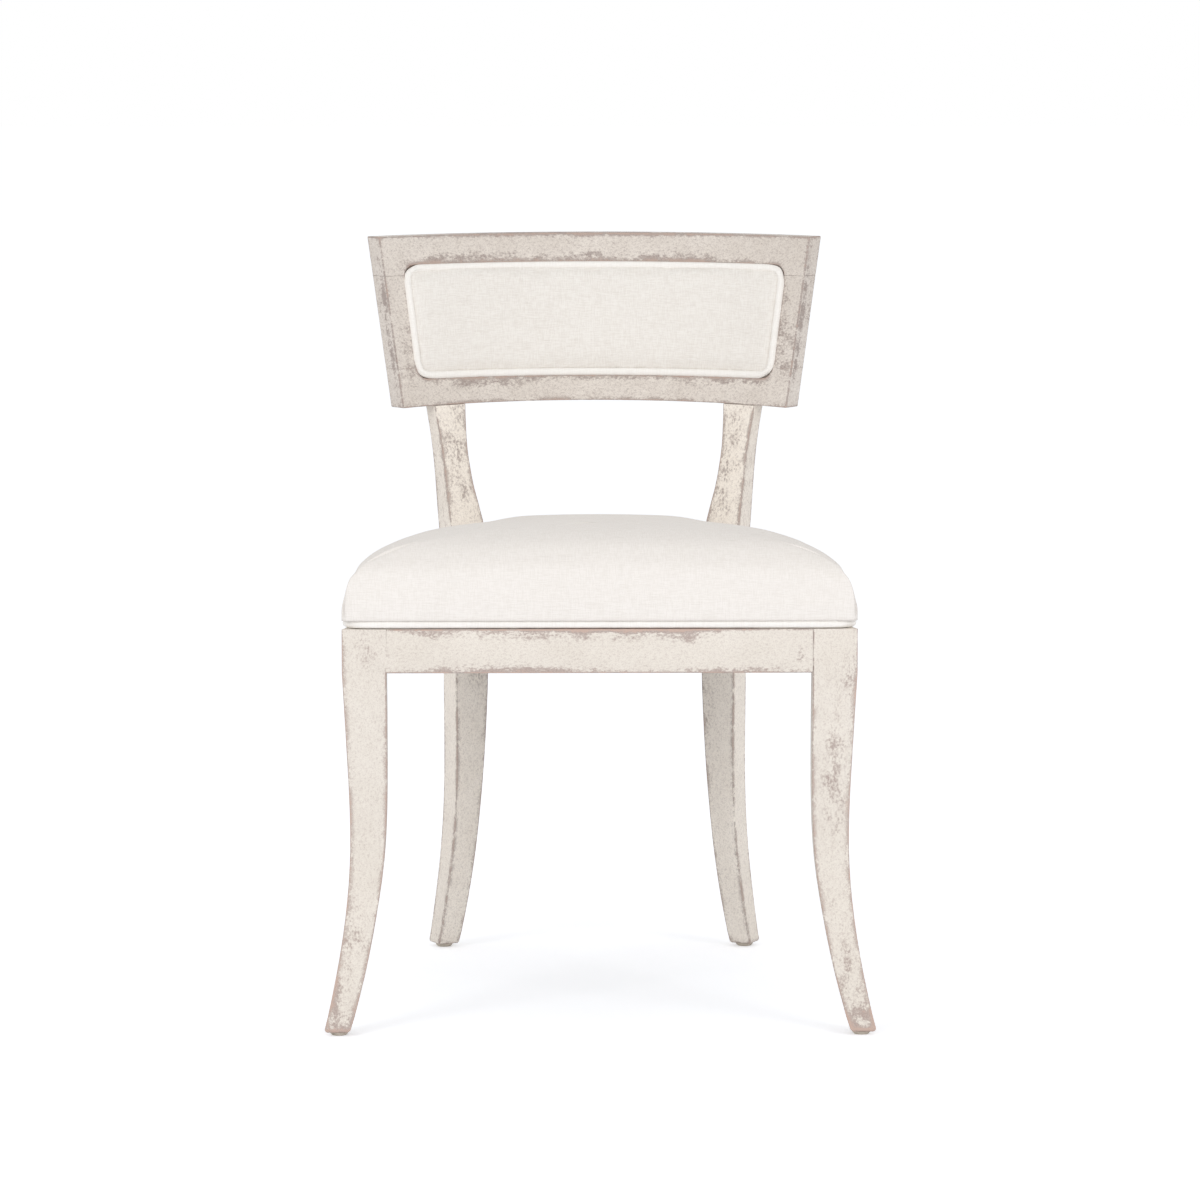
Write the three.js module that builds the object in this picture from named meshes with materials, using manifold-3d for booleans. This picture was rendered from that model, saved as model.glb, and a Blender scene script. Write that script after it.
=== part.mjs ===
// A klismos dining chair: sabre legs, curved upholstered back, crowned tight seat.
// Millimetres, +Z up. The chair faces -Y and stands on its four foot glides.
import * as THREE from 'three';
import { mergeVertices } from 'three/addons/utils/BufferGeometryUtils.js';
import Module from 'manifold-3d';

const wasm = await Module();
wasm.setup();

// Clearances
const gap = 0.3; // between pieces that touch
const cutOverrun = 5; // how far a cutter runs past the piece it cuts

// Seat frame
const railTopHeight = 421.5;
const railHeight = 46.5;
const railThickness = 26;
const frontWidth = 542; // across the front legs
const tenonThickness = 9;
const tenonShoulder = 6; // rail left above and below a tenon
const frontTenonLength = 26;
const rearTenonLength = 16;

// Front legs
const frontLegWidth = 47;
const frontLegDepth = 44;
const frontLegSplay = 28; // outward, at the foot
const frontLegKick = 66; // forward, at the foot

// Back set-out: everything at the rear is laid out round one upright axis
const backAxisBehindFront = 150;
const rearLegRadius = 323.6; // axis to the middle of a rear leg at the seat
const rearLegAngle = 26.4; // degrees either side of the centre line
const rearLegWidth = 41;
const rearLegDepth = 34;
const rearLegKick = 62; // backward, at the foot
const stileKick = 55.5; // backward, at the crest
const rearRailThickness = 22;
const sideRailInset = 3; // rail face in from the rear leg's arris

// Crest frame: a slab of a cone, leaning back
const crestBottomHeight = 614;
const crestHeight = 188;
const crestLean = 46; // top edge behind the bottom edge
const crestThickness = 24;
const crestEndAngle = 36; // degrees either side of the centre line
const crestArch = 3; // rise of the bottom edge at its middle
const crestTopRailDepth = 32; // above the panel
const crestBottomRailDepth = 31; // below the panel
const crestEndWidth = 26; // beside the panel
const crestTopJoint = 43; // joint line below the top edge
const crestBottomJoint = 43; // joint line above the bottom edge
const panelCornerRadius = 13;
const panelLedge = 9; // wood behind the panel edge
const frontRebate = 9;
const rearRebate = 6;
const looseTenonWidth = 13;
const looseTenonThickness = 7;
const looseTenonLength = 26;
const stileTenonWidth = 22;
const stileTenonThickness = 8;
const stileTenonLength = 20;

// Upholstery
const weltDiameter = 8.4;
const rearWeltDiameter = 5.6;
const boardThickness = 4;
const rearBoardThickness = 2.4;
const coverThickness = 1.4;
const panelEdgeHeight = 6; // pad edge above its board
const panelCrown = 6; // pad middle above its edge
const rearPanelCrown = 1.6;
const rearPanelEdge = 1.4;
const seatFrameWidth = 50;
const seatFrameThickness = 12;
const seatEdgeInset = 1.2; // cover in from the rail faces
const seatCrown = 99.4; // crown above the rails
const seatCornerRadius = 9;
const seatWallSwell = 1.3; // cover's bulge over the rails
const strapWidth = 44;
const strapThickness = 1.2;
const strapLap = 30; // strap fastened on the seat frame
const strapSpacing = 68;
const dustCoverThickness = 0.8;
const dustCoverInset = 29;

// Blocks, screws and glides
const blockHeight = 30;
const blockReach = 62; // along each rail
const blockLegClearance = 4;
const screwRadius = 2.2;
const screwHeadRadius = 4.2;
const screwHeadHeight = 2.6;
const blockScrewLength = 32;
const blockScrewSeat = 16; // head to rail face
const seatScrewLength = 38;
const glideRadius = 9.4;
const glideThickness = 3.5;
const glideTaper = 1.8;
const glideNailRadius = 1.5;
const glideNailLength = 14;
const footChamfer = 2.5;

// Leg shapes. Rows of shares: place along the leg, then what the names say.
const frontLegShares = [ // drop, sweep, section
  [0, 0, 1], [0.2, -0.08, 0.925], [0.4, -0.13, 0.84], [0.55, -0.07, 0.775],
  [0.7, 0.16, 0.7], [0.85, 0.52, 0.65], [1, 1, 0.59],
];
const rearLegShares = [ // drop, kick, width, depth
  [0, 0, 1, 1], [0.2, 0.02, 0.96, 0.98], [0.4, 0.08, 0.85, 0.98], [0.55, 0.185, 0.765, 0.96],
  [0.7, 0.37, 0.72, 0.91], [0.85, 0.65, 0.685, 0.85], [1, 1, 0.63, 0.77],
];
const stileShares = [ // rise, kick, inner half width, outer half width, depth beyond the crest's
  [0, 0, 1, 1, 1], [0.17, 0.12, 1.1, 0.95, 1], [0.35, 0.33, 1.09, 0.88, 0.85],
  [0.53, 0.55, 0.87, 0.81, 0.5], [0.65, 0.67, 0.785, 0.78, 0.37], [0.76, 0.78, 0.765, 0.78, 0.26],
  [0.88, 0.9, 0.84, 0.84, 0.05], [1, 1, 0.93, 0.93, 0],
];
// Cushion profile: how far in from the edge, and how high, as shares.
const seatWallShares = [[1, 0], [1, 0.13], [1, 0.26]];
const seatDomeShares = [0.996, 0.985, 0.965, 0.935, 0.89, 0.82, 0.72, 0.58, 0.4, 0.2];
const seatBaseShares = [1 / 8, 1 / 2]; // rings of the flat underside
const seatDomePower = 4.4; // how late the dome falls away
const seatDomeRound = 4; // how round its shoulder is
const seatCrownShare = 0.17; // part of the rise that falls away at once from the middle
const seatContourShare = 1.04; // contours turn from the seat's outline to an oval
const seatContourPower = 2.9; // how late they turn
const seatMiddleShare = 0.31; // the crown's place, front to back
// Small shapes and places, as shares of the piece that carries them
const frontTaperShare = 1 / 4; // part of a front leg's taper taken off its front
const rearTenonShare = 1 / 5; // rear rail's tenon behind the middle of the leg's depth
const smallCornerShare = 1 / 4; // least corner radius of an inset panel outline
const weltJointShare = 0.105; // welt's butt joint, along its outline
const blockScrewShare = 0.62; // screws along a block's two legs
const screwCrownShare = 0.7; // flat top of a screw head
const screwRimShare = 1 / 3;
// Counts of steps in lofts and arcs
const legRows = 3;
const stileRows = 2;
const crestSteps = 30;
const arcSteps = 16;

const degree = Math.PI / 180;
const legAngle = rearLegAngle * degree;
const endAngle = crestEndAngle * degree;
const railBottomHeight = railTopHeight - railHeight;
const footHeight = glideThickness + gap;
const crestTopHeight = crestBottomHeight + crestHeight;
const crestFrontRadius = rearLegRadius - rearLegDepth / 2 + stileKick;
const leanSlope = crestLean / crestHeight;
const panelMiddleRadius = crestFrontRadius + crestLean / 2;
const panelAngle = endAngle - crestEndWidth / panelMiddleRadius;
const panelBottomHeight = crestBottomHeight + crestBottomRailDepth;
const panelTopHeight = crestTopHeight - crestTopRailDepth;
const frontLegInnerX = frontWidth / 2 - frontLegWidth;
const legCentre = [Math.sin(legAngle) * rearLegRadius,
  backAxisBehindFront + Math.cos(legAngle) * rearLegRadius];

// Point in the chair's plan from a rear leg's own outward (u) and backward (v) distances
function legPoint(u, v, side = 1) {
  return [
    side * (legCentre[0] + u * Math.cos(legAngle) + v * Math.sin(legAngle)),
    legCentre[1] - u * Math.sin(legAngle) + v * Math.cos(legAngle),
  ];
}

// Side rail's outer face, seen from above: straight from the front corner to the rear leg
const sideStart = [frontWidth / 2, 0];
const sideEnd = legPoint(rearLegWidth / 2 - sideRailInset, -rearLegDepth / 2);
const sideTaper = (sideStart[0] - sideEnd[0]) / sideEnd[1];
const sideAngle = Math.atan(sideTaper);
const rearRailOuterRadius = rearLegRadius + rearRailThickness / 2;

// Solids
function toManifold(geometry) {
  const bare = geometry.clone();
  bare.deleteAttribute('normal');
  bare.deleteAttribute('uv');
  const merged = mergeVertices(bare, gap / 1000);
  return new wasm.Manifold(new wasm.Mesh({
    numProp: 3,
    vertProperties: new Float32Array(merged.attributes.position.array),
    triVerts: new Uint32Array(merged.index.array),
  }));
}

function toGeometry(solid) {
  const mesh = solid.getMesh();
  const geometry = new THREE.BufferGeometry();
  const positions = new Float32Array(mesh.vertProperties);
  geometry.setAttribute('position', new THREE.BufferAttribute(positions, 3));
  geometry.setIndex(new THREE.BufferAttribute(new Uint32Array(mesh.triVerts), 1));
  geometry.computeVertexNormals();
  return geometry;
}

function cut(solid, ...cutters) {
  return cutters.reduce((left, cutter) => left.subtract(cutter), solid);
}

// A closed body through rings of points; each end is a flat fan round its middle
function loftGeometry(rings) {
  const count = rings[0].length;
  const positions = rings.flat(2);
  const index = [];
  for (let ring = 0; ring < rings.length - 1; ring += 1) {
    for (let k = 0; k < count; k += 1) {
      const a = ring * count + k;
      const b = ring * count + ((k + 1) % count);
      index.push(a, b, a + count, b, b + count, a + count);
    }
  }
  const last = (rings.length - 1) * count;
  for (let k = 1; k < count - 1; k += 1) {
    index.push(0, k + 1, k);
    index.push(last, last + k, last + k + 1);
  }
  const geometry = new THREE.BufferGeometry();
  geometry.setAttribute('position', new THREE.Float32BufferAttribute(positions, 3));
  geometry.setIndex(index);
  return geometry;
}

// Volume is positive when the faces point out, so a loft made the other way is turned
function loft(rings) {
  const geometry = loftGeometry(rings);
  const index = geometry.index.array;
  const position = geometry.attributes.position;
  const corners = [new THREE.Vector3(), new THREE.Vector3(), new THREE.Vector3()];
  let volume = 0;
  for (let k = 0; k < index.length; k += 3) {
    corners.forEach((corner, n) => corner.fromBufferAttribute(position, index[k + n]));
    volume += corners[0].dot(corners[1].clone().cross(corners[2]));
  }
  return volume > 0 ? toManifold(geometry) : toManifold(loftGeometry(rings.slice().reverse()));
}

// An upright prism over a plan outline
function prism(outline, bottom, top) {
  const shape = new THREE.Shape(outline.map(([x, y]) => new THREE.Vector2(x, y)));
  const geometry = new THREE.ExtrudeGeometry(shape, { depth: top - bottom, bevelEnabled: false });
  geometry.translate(0, 0, bottom);
  return toManifold(geometry);
}

// A round bar from one point to another
function bar(start, end, radius, sides = 12) {
  const from = new THREE.Vector3(...start);
  const to = new THREE.Vector3(...end);
  const geometry = new THREE.CylinderGeometry(radius, radius, from.distanceTo(to), sides);
  const turn = new THREE.Quaternion().setFromUnitVectors(
    new THREE.Vector3(0, 1, 0), to.clone().sub(from).normalize());
  geometry.applyQuaternion(turn);
  const middle = from.clone().add(to).multiplyScalar(1 / 2);
  geometry.translate(middle.x, middle.y, middle.z);
  return toManifold(geometry);
}

// Smooth rows between the rows of a table (Catmull-Rom in every column)
function smoothRows(rows, steps) {
  const result = [];
  for (let k = 0; k < rows.length - 1; k += 1) {
    const near = [rows[Math.max(k - 1, 0)], rows[k], rows[k + 1], rows[Math.min(k + 2, rows.length - 1)]];
    for (let step = 0; step < steps; step += 1) {
      const t = step / steps;
      result.push(rows[k].map((_, column) => {
        const [a, b, c, d] = near.map((row) => row[column]);
        const linear = (c - a) * t;
        const square = (2 * a - 5 * b + 4 * c - d) * t * t;
        const cube = (3 * b - a - 3 * c + d) * t * t * t;
        return b + (linear + square + cube) / 2;
      }));
    }
  }
  result.push(rows[rows.length - 1]);
  return result;
}

// The back's cone: a point at an angle from the centre line, a height, and a depth into the wood
function conePoint(angle, height, depth) {
  const radius = crestFrontRadius + (height - crestBottomHeight) * leanSlope + depth;
  return [Math.sin(angle) * radius, backAxisBehindFront + Math.cos(angle) * radius, height];
}

// A curved slab on the cone; low and high give its edges at an angle
function coneSlab({ from, to, low, high, front, back, steps }) {
  const rings = [];
  for (let k = 0; k <= steps; k += 1) {
    const angle = from + (to - from) * k / steps;
    rings.push([conePoint(angle, low(angle), front), conePoint(angle, low(angle), back),
      conePoint(angle, high(angle), back), conePoint(angle, high(angle), front)]);
  }
  return loft(rings);
}

// Angles of a rounded opening's steps, and how far its edge is drawn in at each
function roundedSteps(halfAngle, corner, steps) {
  const cornerAngle = corner / panelMiddleRadius;
  const cornerSteps = 4;
  const half = [];
  for (let k = 0; k <= cornerSteps; k += 1) {
    const turn = (Math.PI / 2) * (k / cornerSteps);
    half.push([halfAngle - cornerAngle * (1 - Math.cos(turn)), corner * (1 - Math.sin(turn))]);
  }
  const flat = [];
  for (let k = 1; k < steps; k += 1) {
    flat.push([(halfAngle - cornerAngle) * (1 - 2 * k / steps), 0]);
  }
  const other = half.map(([angle, drawn]) => [-angle, drawn]).reverse();
  return [...half, ...flat, ...other];
}

// A rounded-corner block through the cone's wall
function panelBlock({ inset, front, back, steps = 22 }) {
  const corner = Math.max(panelCornerRadius - inset, panelCornerRadius * smallCornerShare);
  const halfAngle = panelAngle - inset / panelMiddleRadius;
  const rings = roundedSteps(halfAngle, corner, steps).map(([angle, drawn]) => {
    const low = panelBottomHeight + inset + drawn;
    const high = panelTopHeight - inset - drawn;
    return [conePoint(angle, low, front), conePoint(angle, low, back),
      conePoint(angle, high, back), conePoint(angle, high, front)];
  });
  return loft(rings);
}

// Outline of the panel as [angle, height] pairs, run round once
function panelOutline(inset, flatSteps = 13, sideSteps = 3) {
  const corner = Math.max(panelCornerRadius - inset, panelCornerRadius * smallCornerShare);
  const halfAngle = panelAngle - inset / panelMiddleRadius;
  const shares = roundedSteps(halfAngle, corner, flatSteps);
  const bottom = shares.map(([angle, drawn]) => [angle, panelBottomHeight + inset + drawn]).reverse();
  const top = shares.map(([angle, drawn]) => [angle, panelTopHeight - inset - drawn]);
  const side = (edge) => {
    const points = [];
    const low = panelBottomHeight + inset + corner;
    const high = panelTopHeight - inset - corner;
    for (let k = 1; k < sideSteps; k += 1) {
      points.push([edge, low + (high - low) * (edge > 0 ? k : sideSteps - k) / sideSteps]);
    }
    return points;
  };
  return [...bottom, ...side(halfAngle), ...top, ...side(-halfAngle)];
}

// A crowned pad on the cone, as sections across it: flat base, edge walls and a low dome
function panelPad({ inset, base, edge, crown, steps = 16, rows = 6 }) {
  const corner = Math.max(panelCornerRadius - inset, panelCornerRadius * smallCornerShare);
  const halfAngle = panelAngle - inset / panelMiddleRadius;
  const rings = roundedSteps(halfAngle, corner, steps).map(([angle, drawn]) => {
    const low = panelBottomHeight + inset + drawn;
    const high = panelTopHeight - inset - drawn;
    const swell = (crown - edge) * Math.sqrt(Math.max(0, 1 - Math.abs(angle / halfAngle) ** 4));
    const section = [conePoint(angle, low, base)];
    for (let row = 0; row <= rows; row += 1) {
      const across = Math.sin(Math.PI * (row / rows - 1 / 2));
      const dome = swell * Math.sqrt(Math.max(0, 1 - Math.abs(across) ** 3));
      section.push(conePoint(angle, (low + high) / 2 + across * (high - low) / 2, edge + dome));
    }
    section.push(conePoint(angle, high, base));
    return section;
  });
  return loft(rings);
}

// A closed-section cord along points, its two ends butted
function cordTube(points, radius, steps, sides = 6) {
  const path = new THREE.CatmullRomCurve3(points.map((point) => new THREE.Vector3(...point)));
  const section = new THREE.Shape();
  section.absarc(0, 0, radius, 0, Math.PI * 2, false);
  const geometry = new THREE.ExtrudeGeometry(section, {
    steps, curveSegments: sides / 2, bevelEnabled: false, extrudePath: path,
  });
  return toManifold(geometry);
}

// The panel's welt, started and ended at a butt joint in the bottom edge
function panelWelt(radius, depth) {
  const outline = panelOutline(radius + gap, 30, 5);
  const start = Math.round(outline.length * weltJointShare);
  const turned = [...outline.slice(start), ...outline.slice(0, start)];
  const first = turned[0];
  const last = outline[start - 1];
  const apart = Math.sign(last[0] - first[0]) * gap * 2 / panelMiddleRadius;
  const stop = [first[0] + apart, first[1]];
  const points = [...turned, stop].map(([angle, height]) => conePoint(angle, height, depth));
  return cordTube(points, radius, 76);
}

// Seat plan, drawn in from the rail faces by a set distance
function seatPlan(inset, corner, backSteps = 10) {
  const sideX = (y) => sideStart[0] - sideTaper * y - inset / Math.cos(sideAngle);
  const radius = rearRailOuterRadius - inset;
  const points = [];
  const cornerY = inset + corner;
  const cornerX = sideX(cornerY) - corner / Math.cos(sideAngle);
  const turn = Math.PI / 2 + sideAngle;
  for (let k = 0; k <= 4; k += 1) {
    const a = -Math.PI / 2 + turn * k / 4;
    points.push([cornerX + corner * Math.cos(a), cornerY + corner * Math.sin(a)]);
  }
  let rearAngle = legAngle;
  for (let k = 0; k < 20; k += 1) {
    rearAngle = Math.asin(sideX(backAxisBehindFront + Math.cos(rearAngle) * radius) / radius);
  }
  const rearY = backAxisBehindFront + Math.cos(rearAngle) * radius;
  const firstY = points[4][1];
  for (let k = 1; k < 6; k += 1) {
    const y = firstY + (rearY - firstY) * k / 6;
    points.push([sideX(y), y]);
  }
  for (let k = 0; k < backSteps; k += 1) {
    const a = rearAngle * (1 - k / backSteps);
    points.push([Math.sin(a) * radius, backAxisBehindFront + Math.cos(a) * radius]);
  }
  const mirrored = points.map(([x, y]) => [-x, y]).reverse();
  const front = [-1 / 2, 0, 1 / 2].map((share) => [share * cornerX, inset]);
  return [...points, [0, backAxisBehindFront + radius], ...mirrored, ...front];
}

// A rear leg's footprint at the seat, grown by a clearance
function legFootprint(side, grown) {
  const inner = rearLegWidth / 2 * stileShares[1][2] + grown;
  const outer = rearLegWidth / 2 + grown;
  const front = rearLegDepth / 2 + grown;
  const back = rearLegDepth / 2 + stileKick + grown;
  const corners = [legPoint(-inner, -front, side), legPoint(outer, -front, side),
    legPoint(outer, back, side), legPoint(-inner, back, side)];
  return side > 0 ? corners : corners.reverse();
}

function legNotches(grown, bottom, top) {
  return [1, -1].map((side) => prism(legFootprint(side, grown), bottom, top));
}

// The crowned seat form, its edge a set distance in
function seatForm(inset, bottom) {
  const outline = seatPlan(inset, seatCornerRadius - inset / 2);
  const middleY = (backAxisBehindFront + rearRailOuterRadius) * seatMiddleShare;
  const across = sideStart[0] - sideTaper * middleY;
  const swell = 1 + seatWallSwell / sideStart[0];
  const contour = (share, height) => outline.map(([x, y]) => {
    const angle = Math.atan2(y - middleY, x);
    const oval = across * middleY / Math.hypot(middleY * Math.cos(angle), across * Math.sin(angle));
    const turned = (1 - share ** seatContourPower) * seatContourShare;
    const scale = share * (1 - turned + turned * oval / Math.hypot(x, y - middleY));
    return [x * scale, middleY + (y - middleY) * scale, height];
  });
  const top = railTopHeight + seatCrown - inset;
  const rings = seatBaseShares.map((share) => contour(share, bottom));
  seatWallShares.forEach(([share, rise], k) => {
    rings.push(contour(k ? share * swell : share, bottom + (top - bottom) * rise));
  });
  const wallTop = rings.at(-1)[0][2];
  seatDomeShares.forEach((share) => {
    const shoulder = (1 - share ** seatDomePower) ** (1 / seatDomeRound);
    const rise = (1 - seatCrownShare) * shoulder + seatCrownShare * (1 - share * share);
    rings.push(contour(share * (1 + (swell - 1) * share), wallTop + (top - wallTop) * rise));
  });
  return loft(rings);
}

// Wood pieces
function tenonAlong(start, direction, length, width, low, high, grown) {
  const across = [-direction[1], direction[0]];
  const at = (along, side) => [start[0] + direction[0] * along + across[0] * side,
    start[1] + direction[1] * along + across[1] * side];
  const half = width / 2 + grown;
  return prism([at(-cutOverrun, -half), at(length + grown, -half), at(length + grown, half),
    at(-cutOverrun, half)], low - grown, high + grown);
}

const tenonLow = railBottomHeight + tenonShoulder;
const tenonHigh = railTopHeight - tenonShoulder;
const sideDirection = [-Math.sin(sideAngle), Math.cos(sideAngle)];

function frontRailTenon(side, grown) {
  return tenonAlong([side * (frontLegInnerX - gap), railThickness / 2], [side, 0],
    frontTenonLength, tenonThickness, tenonLow, tenonHigh, grown);
}

// Point on the side rail's centre line at a distance back from the front
function sideRailCentre(y, side) {
  return [side * (sideStart[0] - sideTaper * y - railThickness / 2 / Math.cos(sideAngle)), y];
}

function sideRailFrontTenon(side, grown) {
  const direction = [side * Math.sin(sideAngle), -Math.cos(sideAngle)];
  return tenonAlong(sideRailCentre(frontLegDepth + gap, side), direction,
    frontTenonLength / 2, tenonThickness, tenonLow, tenonHigh, grown);
}

function sideRailRearTenon(side, grown) {
  const middle = legPoint(0, -rearLegDepth / 2);
  return tenonAlong(sideRailCentre(middle[1], side), [side * sideDirection[0], sideDirection[1]],
    rearTenonLength, tenonThickness, tenonLow, tenonHigh, grown);
}

function rearRailTenon(side, grown) {
  const start = legPoint(-rearLegWidth / 2, rearLegDepth * rearTenonShare, side);
  const direction = [side * Math.cos(legAngle), -Math.sin(legAngle)];
  return tenonAlong(start, direction, rearTenonLength, tenonThickness - gap * 2, tenonLow, tenonHigh, grown);
}

function frontLeg(side) {
  const drop = railBottomHeight - footHeight;
  const outerLean = Math.tan(sideAngle);
  const section = (height, sweep, share) => {
    const inner = frontLegInnerX + frontLegSplay * sweep + frontLegWidth * (1 - share) / 2;
    const outer = inner + frontLegWidth * share;
    const front = -frontLegKick * sweep + frontLegDepth * (1 - share) * frontTaperShare;
    const depth = frontLegDepth * share;
    return [[side * inner, front, height], [side * outer, front, height],
      [side * (outer - outerLean * depth), front + depth, height], [side * inner, front + depth, height]];
  };
  const rings = [section(railTopHeight, 0, 1)];
  smoothRows(frontLegShares, legRows).forEach(([down, sweep, share]) => {
    rings.push(section(railBottomHeight - drop * down, sweep, share));
  });
  const foot = frontLegShares[frontLegShares.length - 1];
  rings.pop();
  rings.push(section(footHeight + footChamfer, foot[1], foot[2]));
  rings.push(section(footHeight, foot[1], foot[2] - footChamfer * 2 / frontLegWidth));
  return cut(loft(rings), frontRailTenon(side, gap), sideRailFrontTenon(side, gap),
    glideHole(footMiddle(section(footHeight, foot[1], foot[2]))));
}

function footMiddle(corners) {
  return [0, 1].map((axis) => corners.reduce((sum, corner) => sum + corner[axis], 0) / corners.length);
}

function rearLegSection(height, kick, inner, outer, depth, side) {
  const front = -rearLegDepth / 2 + kick;
  return [[-inner, front], [outer, front], [outer, front + depth], [-inner, front + depth]]
    .map(([u, v]) => [...legPoint(u, v, side), height]);
}

function stileTenon(side, grown) {
  const seat = crestBottomHeight - cutOverrun;
  const top = crestBottomHeight + crestArch + stileTenonLength + grown;
  const ring = (height) => {
    const lean = stileKick + (height - crestBottomHeight) * leanSlope;
    const middle = -rearLegDepth / 2 + lean + crestThickness / 2;
    const u = stileTenonWidth / 2 + grown;
    const v = stileTenonThickness / 2 + grown;
    return [[-u, middle - v], [u, middle - v], [u, middle + v], [-u, middle + v]]
      .map(([across, back]) => [...legPoint(across, back, side), height]);
  };
  return loft([ring(seat - grown), ring(top)]);
}

function rearLeg(side) {
  const drop = railBottomHeight - footHeight;
  const rise = crestBottomHeight - railTopHeight;
  const half = rearLegWidth / 2;
  const rings = [];
  const foot = rearLegShares[rearLegShares.length - 1];
  const footSection = (height, trim) => rearLegSection(height, rearLegKick + trim, half * foot[2] - trim,
    half * foot[2] - trim, rearLegDepth * foot[3] - trim * 2, side);
  rings.push(footSection(footHeight, footChamfer / 2), footSection(footHeight + footChamfer, 0));
  smoothRows(rearLegShares, legRows).reverse().slice(1).forEach(([down, kick, width, depth]) => {
    rings.push(rearLegSection(railBottomHeight - drop * down, rearLegKick * kick, half * width,
      half * width, rearLegDepth * depth, side));
  });
  smoothRows(stileShares, stileRows).forEach(([up, kick, inner, outer, depth]) => {
    rings.push(rearLegSection(railTopHeight + rise * up, stileKick * kick, half * inner, half * outer,
      crestThickness + (rearLegDepth - crestThickness) * depth, side));
  });
  const above = crestArch + gap;
  const [, , inner, outer] = stileShares[stileShares.length - 1];
  rings.push(rearLegSection(crestBottomHeight + above, stileKick + above * leanSlope, half * inner,
    half * outer, crestThickness, side));
  const crest = coneSlab({
    from: -endAngle, to: endAngle, low: (angle) => crestLow(angle) - gap, high: () => crestTopHeight,
    front: -cutOverrun * 2, back: crestThickness + cutOverrun * 2, steps: crestSteps,
  });
  return cut(loft(rings), crest).add(stileTenon(side, 0)).subtract(sideRailRearTenon(side, gap))
    .subtract(rearRailTenon(side, gap)).subtract(glideHole(footMiddle(footSection(footHeight, 0))));
}

function frontRail() {
  const half = frontLegInnerX - gap;
  const board = prism([[-half, 0], [half, 0], [half, railThickness], [-half, railThickness]],
    railBottomHeight, railTopHeight);
  return cut(board.add(frontRailTenon(1, 0)).add(frontRailTenon(-1, 0)), ...screwHoles);
}

function sideRail(side) {
  const frontY = frontLegDepth + gap;
  const faceX = (y, depth) => sideStart[0] - sideTaper * y - depth / Math.cos(sideAngle);
  const backStart = legPoint(-rearLegWidth, -rearLegDepth / 2 - gap);
  const backEnd = legPoint(rearLegWidth, -rearLegDepth / 2 - gap);
  const slope = (backEnd[1] - backStart[1]) / (backEnd[0] - backStart[0]);
  const meet = (depth) => {
    const y = (backStart[1] + slope * (faceX(0, depth) - backStart[0])) / (1 + slope * sideTaper);
    return [faceX(y, depth), y];
  };
  const corners = [[faceX(frontY, 0), frontY], meet(0), meet(railThickness),
    [faceX(frontY, railThickness), frontY]].map(([x, y]) => [side * x, y]);
  const board = prism(side > 0 ? corners : corners.reverse(), railBottomHeight, railTopHeight);
  return cut(board.add(sideRailFrontTenon(side, 0)).add(sideRailRearTenon(side, 0)), ...screwHoles);
}

function rearRail() {
  const inner = rearRailOuterRadius - rearRailThickness;
  const span = legAngle - (rearLegWidth / 2 + gap) / rearLegRadius;
  const rings = [];
  for (let k = 0; k <= arcSteps; k += 1) {
    const a = -span + 2 * span * k / arcSteps;
    const at = (radius, z) => [Math.sin(a) * radius, backAxisBehindFront + Math.cos(a) * radius, z];
    rings.push([at(inner, railBottomHeight), at(rearRailOuterRadius, railBottomHeight),
      at(rearRailOuterRadius, railTopHeight), at(inner, railTopHeight)]);
  }
  const arc = cut(loft(rings), ...legNotches(gap, railBottomHeight - cutOverrun, railTopHeight + cutOverrun));
  const tenons = [1, -1].map((side) => rearRailTenon(side, 0));
  return cut(arc.add(tenons[0]).add(tenons[1]), ...screwHoles);
}

// Crest frame
function crestLow(angle) {
  return crestBottomHeight + crestArch * (1 - (angle / endAngle) ** 2);
}

const panelCuts = [
  panelBlock({ inset: panelLedge, front: -cutOverrun, back: crestThickness + cutOverrun }),
  panelBlock({ inset: 0, front: -cutOverrun, back: frontRebate }),
  panelBlock({ inset: 0, front: crestThickness - rearRebate, back: crestThickness + cutOverrun }),
];
const topJointHeight = crestTopHeight - crestTopJoint;
const bottomJointHeight = crestBottomHeight + crestBottomJoint;

function looseTenon(side, height, grown) {
  const angle = side * (endAngle - crestEndWidth / 2 / panelMiddleRadius);
  const half = (looseTenonWidth / 2 + grown) / panelMiddleRadius;
  const middle = crestThickness / 2;
  return coneSlab({
    from: angle - half, to: angle + half,
    low: () => height - looseTenonLength / 2 - grown, high: () => height + looseTenonLength / 2 + grown,
    front: middle - looseTenonThickness / 2 - grown, back: middle + looseTenonThickness / 2 + grown, steps: 1,
  });
}

function looseTenons(height, grown) {
  return [1, -1].map((side) => looseTenon(side, height, grown));
}

function crestTopRail() {
  const slab = coneSlab({
    from: -endAngle, to: endAngle, low: () => topJointHeight, high: () => crestTopHeight,
    front: 0, back: crestThickness, steps: crestSteps,
  });
  return cut(slab, ...panelCuts, ...looseTenons(topJointHeight, gap));
}

function crestBottomRail() {
  const slab = coneSlab({
    from: -endAngle, to: endAngle, low: crestLow, high: () => bottomJointHeight,
    front: 0, back: crestThickness, steps: crestSteps,
  });
  const stiles = [1, -1].map((side) => stileTenon(side, gap));
  return cut(slab, ...panelCuts, ...looseTenons(bottomJointHeight, gap), ...stiles);
}

function crestEnd(side) {
  const inner = panelAngle - panelLedge * 2 / panelMiddleRadius;
  const slab = coneSlab({
    from: side * inner, to: side * endAngle,
    low: () => bottomJointHeight + gap, high: () => topJointHeight - gap,
    front: 0, back: crestThickness, steps: 4,
  });
  return cut(slab, ...panelCuts, ...looseTenons(topJointHeight, gap), ...looseTenons(bottomJointHeight, gap));
}

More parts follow.
